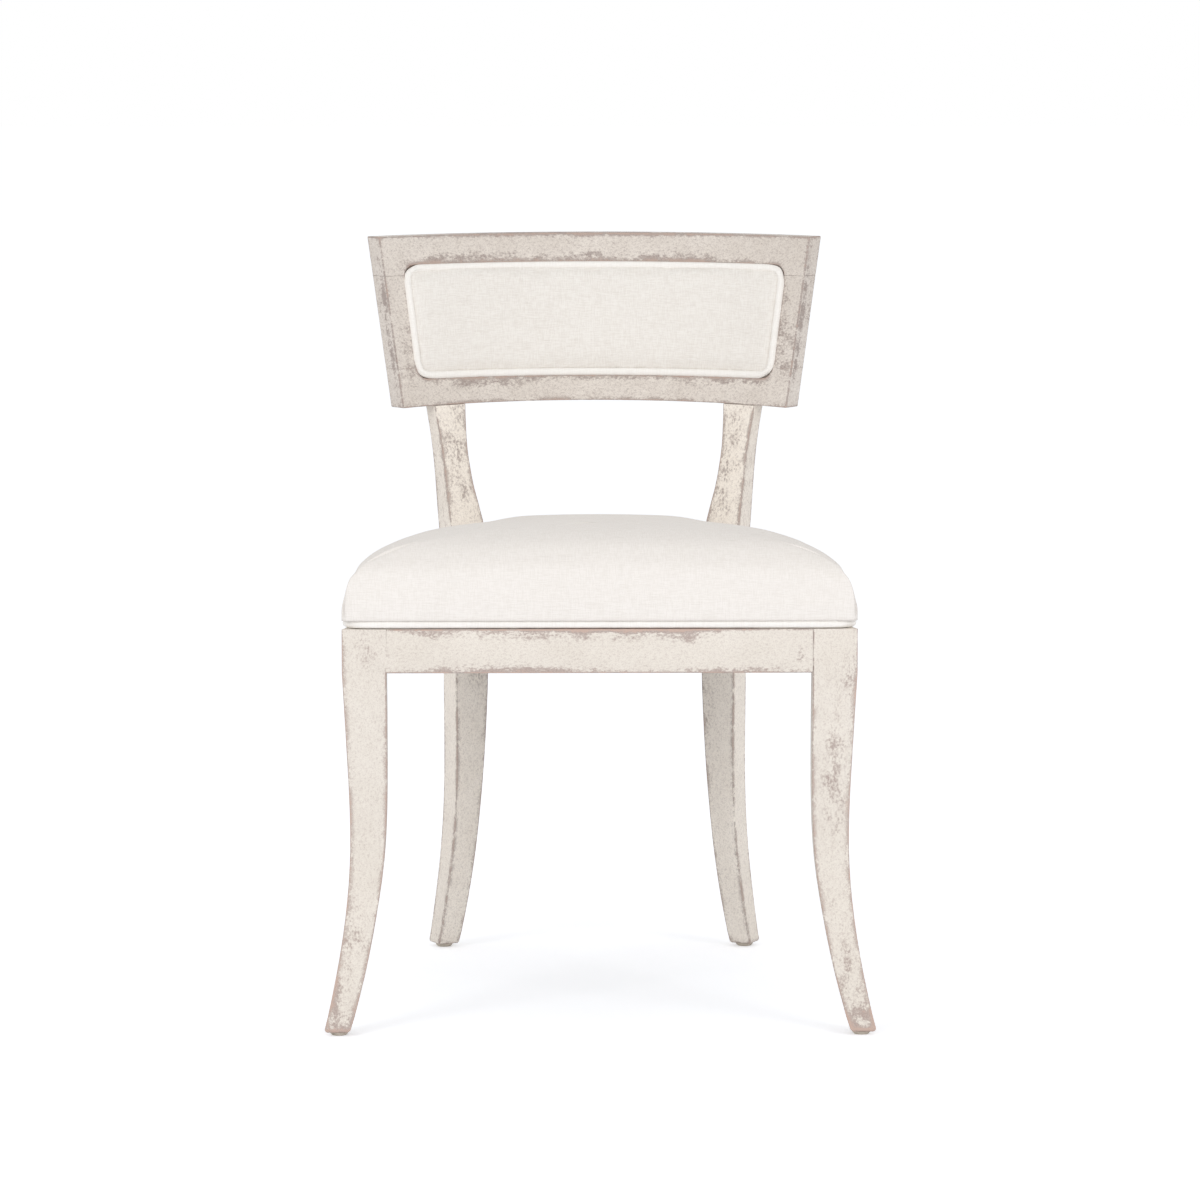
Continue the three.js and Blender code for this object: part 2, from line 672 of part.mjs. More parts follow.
// Back upholstery. Depths run from the crest's front face into the wood.
const boardFront = frontRebate - gap - boardThickness;
const padBase = boardFront - gap;
const weltInset = weltDiameter + gap * 6;
const rearBoardDepth = crestThickness - rearRebate + gap;
const rearPadDepth = rearBoardDepth + rearBoardThickness + gap;
const rearWeltInset = rearWeltDiameter + gap * 5;

function panelFoam() {
  return panelPad({
    inset: weltInset + coverThickness + gap, base: padBase,
    edge: padBase - panelEdgeHeight + coverThickness,
    crown: padBase - panelEdgeHeight - panelCrown + coverThickness,
  });
}

function panelCover() {
  const outer = panelPad({
    inset: weltInset, base: padBase, edge: padBase - panelEdgeHeight,
    crown: padBase - panelEdgeHeight - panelCrown,
  });
  const inner = panelPad({
    inset: weltInset + coverThickness, base: padBase + cutOverrun,
    edge: padBase - panelEdgeHeight + coverThickness - gap,
    crown: padBase - panelEdgeHeight - panelCrown + coverThickness - gap,
  });
  return outer.subtract(inner);
}

function rearPanelCover() {
  return panelPad({
    inset: rearWeltInset, base: rearPadDepth, edge: rearPadDepth + rearPanelEdge,
    crown: rearPadDepth + rearPanelEdge + rearPanelCrown,
  });
}

// Seat upholstery
const seatFrameBottom = railTopHeight + gap;
const seatFrameTop = seatFrameBottom + seatFrameThickness;
const strapMiddle = seatFrameTop + gap + strapThickness / 2;
const strapWave = (strapThickness + gap) / 2;
const foamBottom = strapMiddle + strapWave + strapThickness / 2 + gap;
const coverBottom = railTopHeight + gap + weltDiameter + gap;
const frameInset = weltDiameter + gap * 4;
const notchTop = railTopHeight + seatCrown * 2;

// The seat frame is four strips, mitred at the corners of its inner opening
function seatFrameStrip(which) {
  const outer = prism(seatPlan(frameInset, seatCornerRadius), seatFrameBottom, seatFrameTop);
  const inner = seatPlan(frameInset + seatFrameWidth, gap);
  const opening = prism(inner, seatFrameBottom - cutOverrun, seatFrameTop + cutOverrun);
  const frontCorner = inner[2];
  const rearCorner = inner[9];
  const far = frontWidth;
  const wedges = {
    front: [[-far, -far], [far, -far], [far, frontCorner[1] - (far - frontCorner[0])],
      frontCorner, [-frontCorner[0], frontCorner[1]], [-far, frontCorner[1] - (far - frontCorner[0])]],
    rear: [[-rearCorner[0] - far / 2, rearCorner[1] + far], [-rearCorner[0], rearCorner[1]],
      rearCorner, [rearCorner[0] + far / 2, rearCorner[1] + far]],
  };
  const front = prism(wedges.front, seatFrameBottom - cutOverrun, seatFrameTop + cutOverrun);
  const rear = prism(wedges.rear, seatFrameBottom - cutOverrun, seatFrameTop + cutOverrun);
  const ringSolid = cut(outer, opening, ...legNotches(coverThickness + gap * 3, seatFrameBottom - cutOverrun,
    seatFrameTop + cutOverrun), ...screwHoles);
  if (which === 'front') {
    return ringSolid.intersect(front);
  }
  if (which === 'rear') {
    return ringSolid.intersect(rear);
  }
  const shift = [gap, -gap].map((move) => front.translate([0, move, 0]));
  const rearShift = [gap, -gap].map((move) => rear.translate([0, move, 0]));
  const low = which === 'left' ? -far : 0;
  const half = prism([[low, -far], [low + far, -far], [low + far, far * 2], [low, far * 2]],
    seatFrameBottom - cutOverrun, seatFrameTop + cutOverrun);
  return cut(ringSolid.intersect(half), ...shift, ...rearShift);
}

// Webbing: a flat strap that goes over and under the straps that cross it
const lengthwisePlaces = [-1, 0, 1].map((k) => k * strapSpacing);
const crossPlaces = [0, 1, 2, 3].map((k) => seatFrameWidth + frameInset + strapWidth + k * strapSpacing);

function strap(at, start, end, crossings, firstOver) {
  const half = strapWidth / 2;
  const lap = strapLap + strapWidth * sideTaper / 2 + gap;
  const knots = [[start, 0], [start + lap, 0]];
  crossings.forEach((place, k) => {
    const wave = ((k + firstOver) % 2 ? -1 : 1) * strapWave;
    knots.push([place - half, wave], [place + half, wave]);
  });
  knots.push([end - lap, 0], [end, 0]);
  const rings = knots.map(([along, rise]) => {
    const z = strapMiddle + rise;
    return [at(along, -half, z - strapThickness / 2), at(along, half, z - strapThickness / 2),
      at(along, half, z + strapThickness / 2), at(along, -half, z + strapThickness / 2)];
  });
  return loft(rings);
}

function lengthwiseStrap(k) {
  const x = lengthwisePlaces[k];
  const start = frameInset + seatFrameWidth - strapLap;
  const rearRadius = rearRailOuterRadius - frameInset - seatFrameWidth + strapLap;
  const end = backAxisBehindFront + Math.sqrt(rearRadius ** 2 - (Math.abs(x) + strapWidth / 2) ** 2);
  return strap((along, side, z) => [x + side, along, z], start, end, crossPlaces, k % 2);
}

function crossStrap(k) {
  const y = crossPlaces[k];
  const edge = sideStart[0] - sideTaper * (y + strapWidth / 2) - (frameInset + seatFrameWidth - strapLap);
  return strap((along, side, z) => [along, y + side, z], -edge, edge, lengthwisePlaces, (k + 1) % 2);
}

function seatCover() {
  const low = coverBottom - cutOverrun;
  const outer = cut(seatForm(seatEdgeInset, coverBottom), ...legNotches(gap * 2, low, notchTop));
  const hollow = seatForm(seatEdgeInset + coverThickness, low);
  return outer.subtract(cut(hollow, ...legNotches(gap * 2 + coverThickness, low - cutOverrun, notchTop)));
}

function seatFoam() {
  const inset = seatEdgeInset + coverThickness + gap * 5;
  const form = seatForm(inset, coverBottom - cutOverrun);
  const low = prism(seatPlan(0, seatCornerRadius), coverBottom - cutOverrun * 2, foamBottom);
  return cut(form, low, ...legNotches(coverThickness + gap * 3, coverBottom - cutOverrun * 2, notchTop));
}

function seatWelts() {
  const radius = weltDiameter / 2;
  const height = railTopHeight + gap + radius;
  const outline = seatPlan(radius, seatCornerRadius - radius / 2);
  const clear = (point) => [1, -1].every((side) => !insideLeg(point, side, radius + gap * 4));
  const dense = new THREE.CatmullRomCurve3(outline.map(([x, y]) => new THREE.Vector3(x, y, height)), true)
    .getSpacedPoints(240).slice(0, -1).map((point) => [point.x, point.y, height]);
  const kept = dense.map(clear);
  const first = kept.findIndex((now, k) => now && !kept[(k + dense.length - 1) % dense.length]);
  const runs = [[]];
  for (let k = 0; k < dense.length; k += 1) {
    const n = (first + k) % dense.length;
    if (kept[n]) {
      runs[runs.length - 1].push(dense[n]);
    } else if (runs[runs.length - 1].length) {
      runs.push([]);
    }
  }
  const ordered = runs.filter((run) => run.length > 3).sort((a, b) => b.length - a.length);
  return [cordTube(ordered[0].filter((_, k) => k % 3 === 0), radius, 70),
    cordTube(ordered[1].filter((_, k) => k % 3 === 0), radius, 18)];
}

function insideLeg([x, y], side, grown) {
  const dx = side * x - legCentre[0];
  const dy = y - legCentre[1];
  const u = dx * Math.cos(legAngle) - dy * Math.sin(legAngle);
  const v = dx * Math.sin(legAngle) + dy * Math.cos(legAngle);
  const inner = rearLegWidth / 2 * stileShares[1][2];
  return u > -inner - grown && u < rearLegWidth / 2 + grown && Math.abs(v) < rearLegDepth / 2 + grown;
}

function dustCover() {
  const top = railTopHeight;
  const sheet = prism(seatPlan(dustCoverInset, seatCornerRadius / 3), top - dustCoverThickness, top);
  return cut(sheet, ...legNotches(gap * 6, top - cutOverrun, top + cutOverrun), ...blockPlans.map(
    (plan) => prism(plan.grown, top - cutOverrun, top + cutOverrun)));
}

// Corner blocks: a clipped triangle against two rails, its inner face across the corner
function blockPlan(corner, alongA, alongB, clip, side) {
  const at = (a, b) => [corner[0] + alongA[0] * a + alongB[0] * b, corner[1] + alongA[1] * a + alongB[1] * b];
  const outline = (reach, near) => {
    const points = [at(near, 0), at(reach, 0), at(0, reach), at(0, near)].map(([x, y]) => [side * x, y]);
    const area = THREE.ShapeUtils.area(points.map(([x, y]) => new THREE.Vector2(x, y)));
    return area > 0 ? points : points.reverse();
  };
  const screws = [[alongA, alongB], [alongB, alongA]].map(([along, other]) => {
    const base = [0, 1].map((axis) => corner[axis] + along[axis] * blockReach * blockScrewShare);
    const inward = inwardNormal(along, other);
    return { base: [side * base[0], base[1]], inward: [side * inward[0], inward[1]] };
  });
  const middle = at((clip + blockReach) / 4, (clip + blockReach) / 4);
  return { outline: outline(blockReach, clip), grown: outline(blockReach + gap * 6, gap), screws,
    middle: [side * middle[0], middle[1]] };
}

// Unit normal to one rail that points to the side the other rail lies on
function inwardNormal(along, other) {
  const normal = [-along[1], along[0]];
  const sign = Math.sign(normal[0] * other[0] + normal[1] * other[1]);
  return [normal[0] * sign, normal[1] * sign];
}

function frontBlockPlan(side) {
  const y = railThickness + gap;
  const x = sideStart[0] - sideTaper * y - (railThickness + gap) / Math.cos(sideAngle);
  const clip = frontLegWidth - railThickness + blockLegClearance;
  return blockPlan([x, y], [-1, 0], sideDirection, clip, side);
}

function rearBlockPlan(side) {
  const radius = rearRailOuterRadius - rearRailThickness - gap * 4;
  const start = legPoint(-rearLegWidth / 2, -rearLegDepth / 2);
  const along = [-Math.cos(legAngle * 2 / 3), Math.sin(legAngle * 2 / 3)];
  const faceX = (y) => sideStart[0] - sideTaper * y - (railThickness + gap) / Math.cos(sideAngle);
  const y = Math.min(start[1], backAxisBehindFront + Math.cos(legAngle) * radius);
  return blockPlan([faceX(y), y], along, [-sideDirection[0], -sideDirection[1]], blockLegClearance, side);
}

const blockPlans = [frontBlockPlan(-1), frontBlockPlan(1), rearBlockPlan(-1), rearBlockPlan(1)];
const blockTop = railTopHeight - gap;
const blockBottom = blockTop - blockHeight;
const blockMiddle = (blockTop + blockBottom) / 2;
const blockNames = ['front_left', 'front_right', 'rear_left', 'rear_right'];

// A pan-head screw as a turned body, driven from its head along a direction
function screwBody(head, direction, length) {
  const profile = [[0, -screwHeadHeight], [screwHeadRadius * screwCrownShare, -screwHeadHeight],
    [screwHeadRadius, -screwHeadHeight * screwRimShare], [screwHeadRadius, 0], [screwRadius, 0],
    [screwRadius, length - screwRadius * 2], [0, length]].map(([x, y]) => new THREE.Vector2(x, y));
  const geometry = new THREE.LatheGeometry(profile, 12);
  const turn = new THREE.Quaternion().setFromUnitVectors(
    new THREE.Vector3(0, 1, 0), new THREE.Vector3(...direction));
  geometry.applyQuaternion(turn);
  geometry.translate(...head);
  return toManifold(geometry);
}

function along(start, direction, distance) {
  return start.map((value, axis) => value + direction[axis] * distance);
}

const blockScrews = blockPlans.flatMap((plan) => plan.screws.map(({ base, inward }) => ({
  head: along([...base, blockMiddle], [...inward, 0], blockScrewSeat),
  direction: [-inward[0], -inward[1], 0], length: blockScrewLength, pocket: blockReach,
})));
const seatScrews = blockPlans.map((plan) => ({
  head: [...plan.middle, blockBottom - gap], direction: [0, 0, 1], length: seatScrewLength, pocket: 0,
}));
const screwHoles = [...blockScrews, ...seatScrews].map(({ head, direction, length }) => bar(
  along(head, direction, -screwHeadHeight), along(head, direction, length + gap), screwRadius + gap));
const screwPockets = blockScrews.map(({ head, direction, pocket }) => bar(
  along(head, direction, -pocket), along(head, direction, gap), screwHeadRadius + gap * 2));

// A front leg's section at the seat, grown by a clearance
function frontLegPost(side, grown, bottom, top) {
  const back = frontLegDepth + grown;
  const inner = frontLegInnerX - grown;
  const corners = [[side * inner, -grown], [side * frontWidth / 2, -grown],
    [side * frontWidth / 2, back], [side * inner, back]];
  return prism(side > 0 ? corners : corners.reverse(), bottom, top);
}

function cornerBlock(k) {
  let block = prism(blockPlans[k].outline, blockBottom, blockTop);
  if (k < 2) {
    block = cut(block, frontLegPost(k ? 1 : -1, gap * 2, blockBottom - cutOverrun, blockTop + cutOverrun));
  } else {
    const inner = rearRailOuterRadius - rearRailThickness - gap;
    const rings = [];
    for (let step = 0; step <= arcSteps; step += 1) {
      const a = endAngle * (step * 4 / arcSteps - 2);
      const at = (radius, z) => [Math.sin(a) * radius, backAxisBehindFront + Math.cos(a) * radius, z];
      rings.push([at(inner, blockBottom - cutOverrun), at(inner * 2, blockBottom - cutOverrun),
        at(inner * 2, blockTop + cutOverrun), at(inner, blockTop + cutOverrun)]);
    }
    block = cut(block, loft(rings), ...legNotches(gap * 2, blockBottom - cutOverrun, blockTop + cutOverrun));
  }
  return cut(block, ...screwHoles, ...screwPockets.slice(k * 2, k * 2 + 2));
}

// Foot glides: a tapered disc with a nail
function glideHole([x, y]) {
  const top = footHeight + glideNailLength + gap;
  return bar([x, y, footHeight - cutOverrun], [x, y, top], glideNailRadius + gap, 8);
}

function glide([x, y]) {
  const profile = [[0, 0], [glideRadius - glideTaper, 0], [glideRadius, glideThickness / 2],
    [glideRadius, glideThickness], [glideNailRadius, glideThickness],
    [glideNailRadius, glideThickness + glideNailLength - glideNailRadius],
    [0, glideThickness + glideNailLength]].map(([r, z]) => new THREE.Vector2(r, z));
  const geometry = new THREE.LatheGeometry(profile, 16);
  geometry.rotateX(Math.PI / 2);
  geometry.translate(x, y, 0);
  return toManifold(geometry);
}

function frontFoot(side) {
  const share = frontLegShares[frontLegShares.length - 1][2];
  const inner = frontLegInnerX + frontLegSplay + frontLegWidth * (1 - share) / 2;
  const front = -frontLegKick + frontLegDepth * (1 - share) * frontTaperShare;
  const width = frontLegWidth * share;
  const depth = frontLegDepth * share;
  const x = inner + width / 2 - Math.tan(sideAngle) * depth / 4;
  return [side * x, front + depth / 2];
}

function rearFoot(side) {
  const depth = rearLegDepth * rearLegShares[rearLegShares.length - 1][3];
  return legPoint(0, -rearLegDepth / 2 + rearLegKick + depth / 2, side);
}

// Finishes
const finishes = {
  paint: new THREE.MeshStandardMaterial({ color: 0xd9d2c5, roughness: 0.75, metalness: 0 }),
  rawWood: new THREE.MeshStandardMaterial({ color: 0xb08a66, roughness: 0.8, metalness: 0 }),
  linen: new THREE.MeshStandardMaterial({ color: 0xf0ede8, roughness: 0.95, metalness: 0 }),
  foam: new THREE.MeshStandardMaterial({ color: 0xe8dfb0, roughness: 1, metalness: 0 }),
  webbing: new THREE.MeshStandardMaterial({ color: 0x8d8273, roughness: 0.9, metalness: 0 }),
  blackCloth: new THREE.MeshStandardMaterial({ color: 0x26262a, roughness: 0.95, metalness: 0 }),
  steel: new THREE.MeshStandardMaterial({ color: 0xb9bbbd, roughness: 0.4, metalness: 1 }),
  nylon: new THREE.MeshStandardMaterial({ color: 0x9a938a, roughness: 0.6, metalness: 0 }),
};

const chair = new THREE.Group();

function addPiece(name, solid, finish) {
  const mesh = new THREE.Mesh(toGeometry(solid), finishes[finish]);
  mesh.name = name;
  chair.add(mesh);
}

const sides = [['left', -1], ['right', 1]];
sides.forEach(([name, side]) => {
  addPiece(`front_leg_${name}`, frontLeg(side), 'paint');
  addPiece(`rear_leg_${name}`, rearLeg(side), 'paint');
  addPiece(`side_rail_${name}`, sideRail(side), 'paint');
  addPiece(`crest_end_${name}`, crestEnd(side), 'paint');
  addPiece(`crest_tenon_upper_${name}`, looseTenon(side, topJointHeight - gap / 2, 0), 'rawWood');
  addPiece(`crest_tenon_lower_${name}`, looseTenon(side, bottomJointHeight + gap / 2, 0), 'rawWood');
  addPiece(`glide_front_${name}`, glide(frontFoot(side)), 'nylon');
  addPiece(`glide_rear_${name}`, glide(rearFoot(side)), 'nylon');
});
addPiece('front_rail', frontRail(), 'paint');
addPiece('rear_rail', rearRail(), 'paint');
addPiece('crest_top_rail', crestTopRail(), 'paint');
addPiece('crest_bottom_rail', crestBottomRail(), 'paint');
blockNames.forEach((name, k) => {
  addPiece(`corner_block_${name}`, cornerBlock(k), 'rawWood');
  const place = seatScrews[k];
  addPiece(`seat_screw_${name}`, screwBody(place.head, place.direction, place.length), 'steel');
  ['a', 'b'].forEach((letter, n) => {
    const { head, direction, length } = blockScrews[k * 2 + n];
    addPiece(`block_screw_${name}_${letter}`, screwBody(head, direction, length), 'steel');
  });
});
['front', 'rear', 'left', 'right'].forEach((which) => {
  addPiece(`seat_frame_${which}`, seatFrameStrip(which), 'rawWood');
});
lengthwisePlaces.forEach((_, k) => addPiece(`webbing_lengthwise_${k + 1}`, lengthwiseStrap(k), 'webbing'));
crossPlaces.forEach((_, k) => addPiece(`webbing_cross_${k + 1}`, crossStrap(k), 'webbing'));
addPiece('seat_foam', seatFoam(), 'foam');
addPiece('seat_cover', seatCover(), 'linen');
const [frontWelt, rearWelt] = seatWelts();
addPiece('seat_welt_front', frontWelt, 'linen');
addPiece('seat_welt_rear', rearWelt, 'linen');
addPiece('dust_cover', dustCover(), 'blackCloth');
addPiece('back_panel_board', panelBlock({
  inset: gap, front: boardFront, back: boardFront + boardThickness,
}), 'rawWood');
addPiece('back_panel_foam', panelFoam(), 'foam');
addPiece('back_panel_cover', panelCover(), 'linen');
addPiece('back_panel_welt', panelWelt(weltDiameter / 2, padBase - weltDiameter / 2), 'linen');
addPiece('outside_back_board', panelBlock({
  inset: gap, front: rearBoardDepth, back: rearBoardDepth + rearBoardThickness,
}), 'rawWood');
addPiece('outside_back_cover', rearPanelCover(), 'linen');
addPiece('outside_back_welt', panelWelt(rearWeltDiameter / 2, rearPadDepth + rearWeltDiameter / 2), 'linen');

// The origin is on the floor, under the middle of the chair's outline
const bounds = new THREE.Box3().setFromObject(chair);
const middle = bounds.getCenter(new THREE.Vector3());
chair.children.forEach((mesh) => mesh.geometry.translate(-middle.x, -middle.y, -bounds.min.z));

export default chair;
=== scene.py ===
import math

import bmesh
import bpy
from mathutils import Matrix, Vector


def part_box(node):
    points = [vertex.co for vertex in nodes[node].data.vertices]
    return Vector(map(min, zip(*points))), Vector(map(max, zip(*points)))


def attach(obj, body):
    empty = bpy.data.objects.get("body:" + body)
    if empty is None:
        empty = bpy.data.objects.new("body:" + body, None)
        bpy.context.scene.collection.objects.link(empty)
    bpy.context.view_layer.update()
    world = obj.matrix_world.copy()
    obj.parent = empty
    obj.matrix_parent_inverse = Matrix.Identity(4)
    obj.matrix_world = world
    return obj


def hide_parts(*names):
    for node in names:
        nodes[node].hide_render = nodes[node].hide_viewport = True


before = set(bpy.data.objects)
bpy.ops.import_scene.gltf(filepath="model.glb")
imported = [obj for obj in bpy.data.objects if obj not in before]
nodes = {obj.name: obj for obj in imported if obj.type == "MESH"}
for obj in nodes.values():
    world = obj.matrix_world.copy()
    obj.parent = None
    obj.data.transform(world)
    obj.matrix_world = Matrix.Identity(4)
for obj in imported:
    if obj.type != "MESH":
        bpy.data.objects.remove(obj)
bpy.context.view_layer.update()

weldGap = 0.00002
bumpDepth = 0.0004


# Small helpers
def selectOnly(piece):
    bpy.ops.object.select_all(action="DESELECT")
    piece.select_set(True)
    bpy.context.view_layer.objects.active = piece


def copyNode(node, name):
    piece = nodes[node].copy()
    piece.data = nodes[node].data.copy()
    piece.name = name
    piece.parent = None
    piece.data.materials.clear()
    bpy.context.scene.collection.objects.link(piece)
    return piece


def applyAll(piece):
    selectOnly(piece)
    for modifier in list(piece.modifiers):
        bpy.ops.object.modifier_apply(modifier=modifier.name)


def cleanMesh(piece, flat=0):
    selectOnly(piece)
    bpy.ops.mesh.customdata_custom_splitnormals_clear()
    bpy.ops.object.mode_set(mode="EDIT")
    bpy.ops.mesh.select_all(action="SELECT")
    bpy.ops.mesh.remove_doubles(threshold=weldGap)
    if flat:
        bpy.ops.mesh.dissolve_limited(angle_limit=math.radians(flat))
    bpy.ops.mesh.normals_make_consistent(inside=False)
    bpy.ops.object.mode_set(mode="OBJECT")


def smoothByAngle(piece, angle):
    selectOnly(piece)
    bpy.ops.object.shade_smooth_by_angle(angle=math.radians(angle))


# Shader node helpers
def addNode(tree, kind, values=None, **settings):
    node = tree.nodes.new(kind)
    for key, value in settings.items():
        setattr(node, key, value)
    for key, value in (values or {}).items():
        node.inputs[key].default_value = value
    return node


def link(tree, source, target):
    tree.links.new(source, target)


def mathNode(tree, operation, a, b=None, c=None, clamp=False):
    node = addNode(tree, "ShaderNodeMath", operation=operation, use_clamp=clamp)
    for k, value in enumerate((a, b, c)):
        if value is None:
            continue
        if hasattr(value, "node"):
            link(tree, value, node.inputs[k])
        else:
            node.inputs[k].default_value = value
    return node.outputs[0]


def mixColours(tree, share, a, b):
    node = addNode(tree, "ShaderNodeMix", data_type="RGBA")
    for socket, value in ((node.inputs["Factor"], share), (node.inputs[6], a), (node.inputs[7], b)):
        if hasattr(value, "node"):
            link(tree, value, socket)
        else:
            socket.default_value = value
    return node.outputs[2]


def stepUp(tree, value, low, high):
    node = addNode(tree, "ShaderNodeMapRange", {"From Min": low, "From Max": high})
    node.interpolation_type = "SMOOTHSTEP"
    link(tree, value, node.inputs["Value"])
    return node.outputs["Result"]


def noise(tree, vector, scale, detail=4.0, roughness=0.6, stretch=None):
    node = addNode(tree, "ShaderNodeTexNoise", {"Scale": scale, "Detail": detail, "Roughness": roughness})
    if stretch:
        mapping = addNode(tree, "ShaderNodeMapping", {"Scale": stretch})
        link(tree, vector, mapping.inputs["Vector"])
        vector = mapping.outputs["Vector"]
    link(tree, vector, node.inputs["Vector"])
    return node.outputs["Fac"]


def newGroup(name, inputs, outputs):
    tree = bpy.data.node_groups.new(name, "ShaderNodeTree")
    for label, kind, value in inputs:
        socket = tree.interface.new_socket(label, in_out="INPUT", socket_type=kind)
        if value is not None:
            socket.default_value = value
    for label, kind in outputs:
        tree.interface.new_socket(label, in_out="OUTPUT", socket_type=kind)
    return tree, addNode(tree, "NodeGroupInput"), addNode(tree, "NodeGroupOutput")


def rgb(red, green, blue):
    def linear(value):
        share = value / 255
        return share / 12.92 if share <= 0.04045 else ((share + 0.055) / 1.055) ** 2.4
    return (linear(red), linear(green), linear(blue), 1.0)


floatKind, colourKind, vectorKind = "NodeSocketFloat", "NodeSocketColor", "NodeSocketVector"


# Soft-edged place where the paint is rubbed through
def buildPatchGroup():
    tree, inside, outside = newGroup(
        "Worn patch",
        [
            ("Centre", vectorKind, (0.0, 0.0, 0.0)),
            ("Reach", vectorKind, (0.1, 0.1, 0.1)),
            ("Strength", floatKind, 0.5),
            ("Slant", floatKind, 0.0),
        ],
        [("Mask", floatKind)],
    )
    place = addNode(tree, "ShaderNodeTexCoord").outputs["Object"]
    away = addNode(tree, "ShaderNodeVectorMath", operation="SUBTRACT")
    link(tree, place, away.inputs[0])
    link(tree, inside.outputs["Centre"], away.inputs[1])
    split = addNode(tree, "ShaderNodeSeparateXYZ")
    link(tree, away.outputs[0], split.inputs[0])
    lean = mathNode(tree, "MULTIPLY", split.outputs[2], inside.outputs["Slant"])
    upright = addNode(tree, "ShaderNodeCombineXYZ")
    link(tree, mathNode(tree, "SUBTRACT", split.outputs[0], lean), upright.inputs[0])
    link(tree, split.outputs[1], upright.inputs[1])
    link(tree, split.outputs[2], upright.inputs[2])
    scaled = addNode(tree, "ShaderNodeVectorMath", operation="DIVIDE")
    link(tree, upright.outputs[0], scaled.inputs[0])
    link(tree, inside.outputs["Reach"], scaled.inputs[1])
    length = addNode(tree, "ShaderNodeVectorMath", operation="LENGTH")
    link(tree, scaled.outputs[0], length.inputs[0])
    fade = stepUp(tree, length.outputs["Value"], 1.0, 0.2)
    link(tree, mathNode(tree, "MULTIPLY", fade, inside.outputs["Strength"]), outside.inputs["Mask"])
    return tree


paintGrain = {"arris": 0.009, "turned": (0.999, 0.95), "broad": 8.0, "stretches": 19.0, "cloudy": 75.0,
              "crumbly": 430.0, "grain": 800.0}
paintLoss = {"veil": (0.7, 1.3), "undercoat": (0.98, 1.42), "wood": (1.65, 2.1)}


